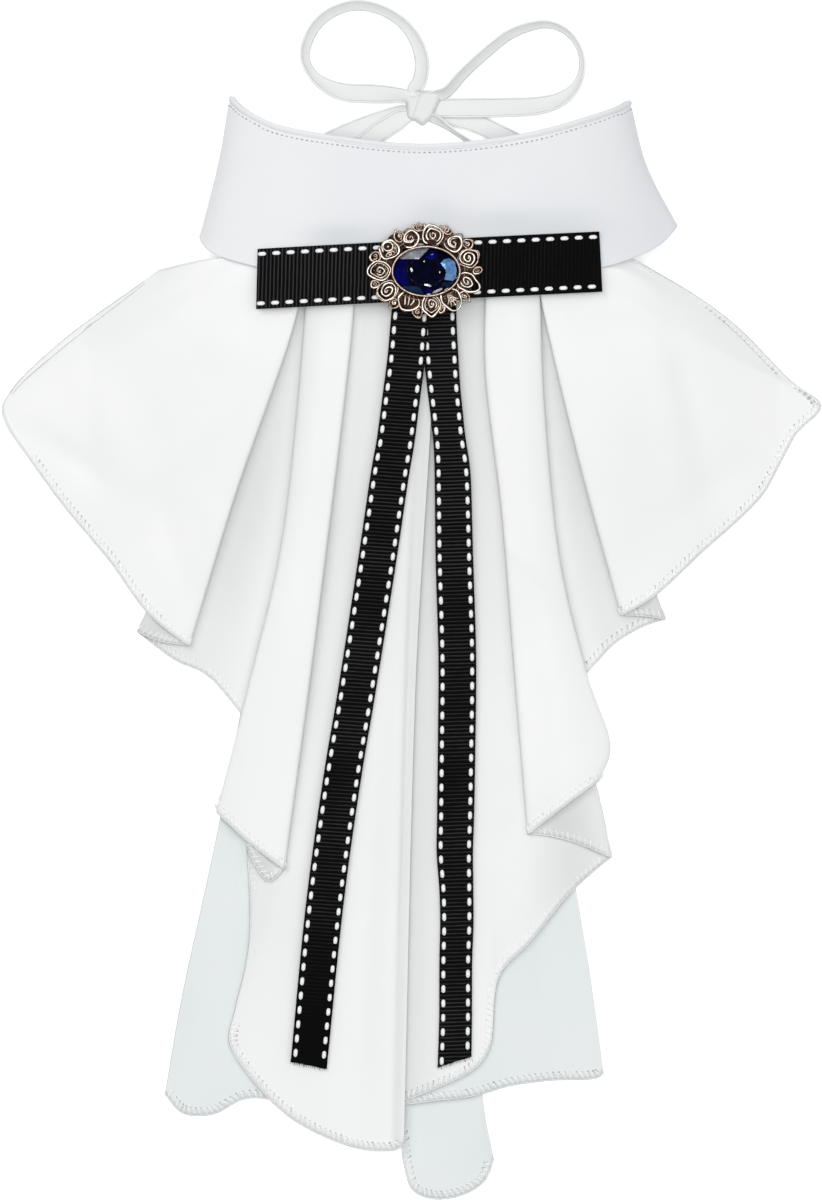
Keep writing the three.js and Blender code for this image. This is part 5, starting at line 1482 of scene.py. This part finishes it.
MATERIALS = dict(
    cloth=cloth_material("cloth_white", (0.875, 0.886, 0.880), (0.845, 0.865, 0.862),
                         painted_shade=(0.585, 0.606, 0.594)),
    # Painted shade: the cloth behind is a darker, cooler copy of the white cloth.
    behind=cloth_material("cloth_white_behind_shaded", (0.765, 0.80, 0.80), (0.735, 0.78, 0.785)),
    # Painted shade: the collar's colours are a darker, bluer copy of the white cloth.
    collar=cloth_material("cloth_white_collar_shaded", (0.795, 0.802, 0.82), (0.765, 0.775, 0.80),
                          painted_shade=(0.56, 0.60, 0.63)),
    tie=cloth_material("tie_white", (0.83, 0.84, 0.835), (0.80, 0.81, 0.81), 0.6, (0.71, 0.72, 0.72)),
    # Painted shade: the knot is a greyer copy of the tie's white.
    knot=cloth_material("knot_white_shaded", (0.745, 0.755, 0.75), (0.72, 0.73, 0.73), 0.6),
    thread=thread_material("thread_white", (0.95, 0.955, 0.95), (0.84, 0.85, 0.85)),
    stitch=thread_material("stitch_white", (0.93, 0.93, 0.92), (0.8, 0.8, 0.8)),
    needles=needle_material("needle_hole_shade", (0.40, 0.405, 0.42), (0.66, 0.665, 0.68)),
    topstitch=needle_material("topstitch_grey", (0.30, 0.305, 0.32), (0.58, 0.585, 0.60)),
    seam_shade=needle_material("seam_shade", (0.42, 0.425, 0.44), (0.6, 0.605, 0.61)),
    ribbon=grosgrain_material(),
    metal=antique_material(),
    patina=speckled("brooch_patina", (0.02, 0.011, 0.008), 0.7, 0.2, (800.0, 4.0),
                    (0.35, (0.006, 0.003, 0.002)), (0.75, (0.12, 0.065, 0.042)),
                    relief=(0.0003, 0.7), Specular_IOR_Level=0.2),
    stone=stone_material("stone_navy", (0.0003, 0.0004, 0.003), (0.0006, 0.001, 0.02)),
    painted_reflection=stone_material("stone_painted_reflection", (0.42, 0.43, 0.50), (0.66, 0.67, 0.74), 0.1, 0.7),
    painted_reflection_blue=stone_material("stone_painted_reflection_blue", (0.14, 0.33, 0.75), (0.30, 0.56, 0.95), 0.12, 0.7),
    teal=stone_material("stone_teal", (0.003, 0.008, 0.03), (0.014, 0.04, 0.10), 0.1, 0.2),
    deep_blue=stone_material("stone_deep_blue", (0.0008, 0.0008, 0.035), (0.0012, 0.0018, 0.12), 0.1, 0.1),
    glint=stone_material("stone_glint", (0.85, 0.87, 0.95), (1.0, 1.0, 1.0), 0.1, 0.8),
    pin=speckled("pin_steel", (0.6, 0.6, 0.62), 0.35, 1.0, (900.0, 4.0), (0.32, (0.45, 0.45, 0.47)),
                 (0.56, (0.6, 0.6, 0.62)), relief=(0.0001, 0.35)),
    floor=speckled("floor_white", (0.95, 0.95, 0.955), 0.9, 0.0, (3.0, 2.0), (0.3, (0.93, 0.93, 0.935)),
                   (0.7, (0.96, 0.96, 0.96)), Emission_Color=(1, 1, 1, 1), Emission_Strength=0.27),
)

knot = make_knot(MATERIALS["knot"])
for side in TIES:
    make_tie(side, MATERIALS["tie"], MATERIALS["seam_shade"])

make_collar(MATERIALS["collar"], MATERIALS["topstitch"], MATERIALS["seam_shade"])
hem_look = [MATERIALS[key] for key in ("thread", "needles", "seam_shade")]
front_look, behind_look = [MATERIALS["cloth"], *hem_look], [MATERIALS["behind"], *hem_look]
make_cloth("cloth_behind_left", "underlay_left", UNDERLAY_LEFT, BEHIND_STEPS, behind_look)
make_cloth("cloth_behind_right", "underlay_right", UNDERLAY_RIGHT, BEHIND_STEPS, behind_look)
make_cloth("cascade_left", "frill_left", FRILL_LEFT, CASCADE_STEPS, front_look)
make_cloth("cascade_right", "frill_right", FRILL_RIGHT, CASCADE_STEPS, front_look)

make_ribbon("bar", "ribbon_bar", bar_grid(), MATERIALS, 0.32, 2.15,
            frayed=False)
make_ribbon("tail_right", "ribbon_tail_right", tail_grid(TAIL_RIGHT, -4.6), MATERIALS, 0.5,
            1.65)
make_ribbon("tail_left", "ribbon_tail_left", tail_grid(TAIL_LEFT, 1.4), MATERIALS, 0.5,
            1.65)

make_brooch(MATERIALS)
make_stone(MATERIALS)
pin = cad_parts["brooch_pin"]
pin.data.materials.clear()
pin.data.materials.append(MATERIALS["pin"])

make_floor(MATERIALS["floor"])
make_light()
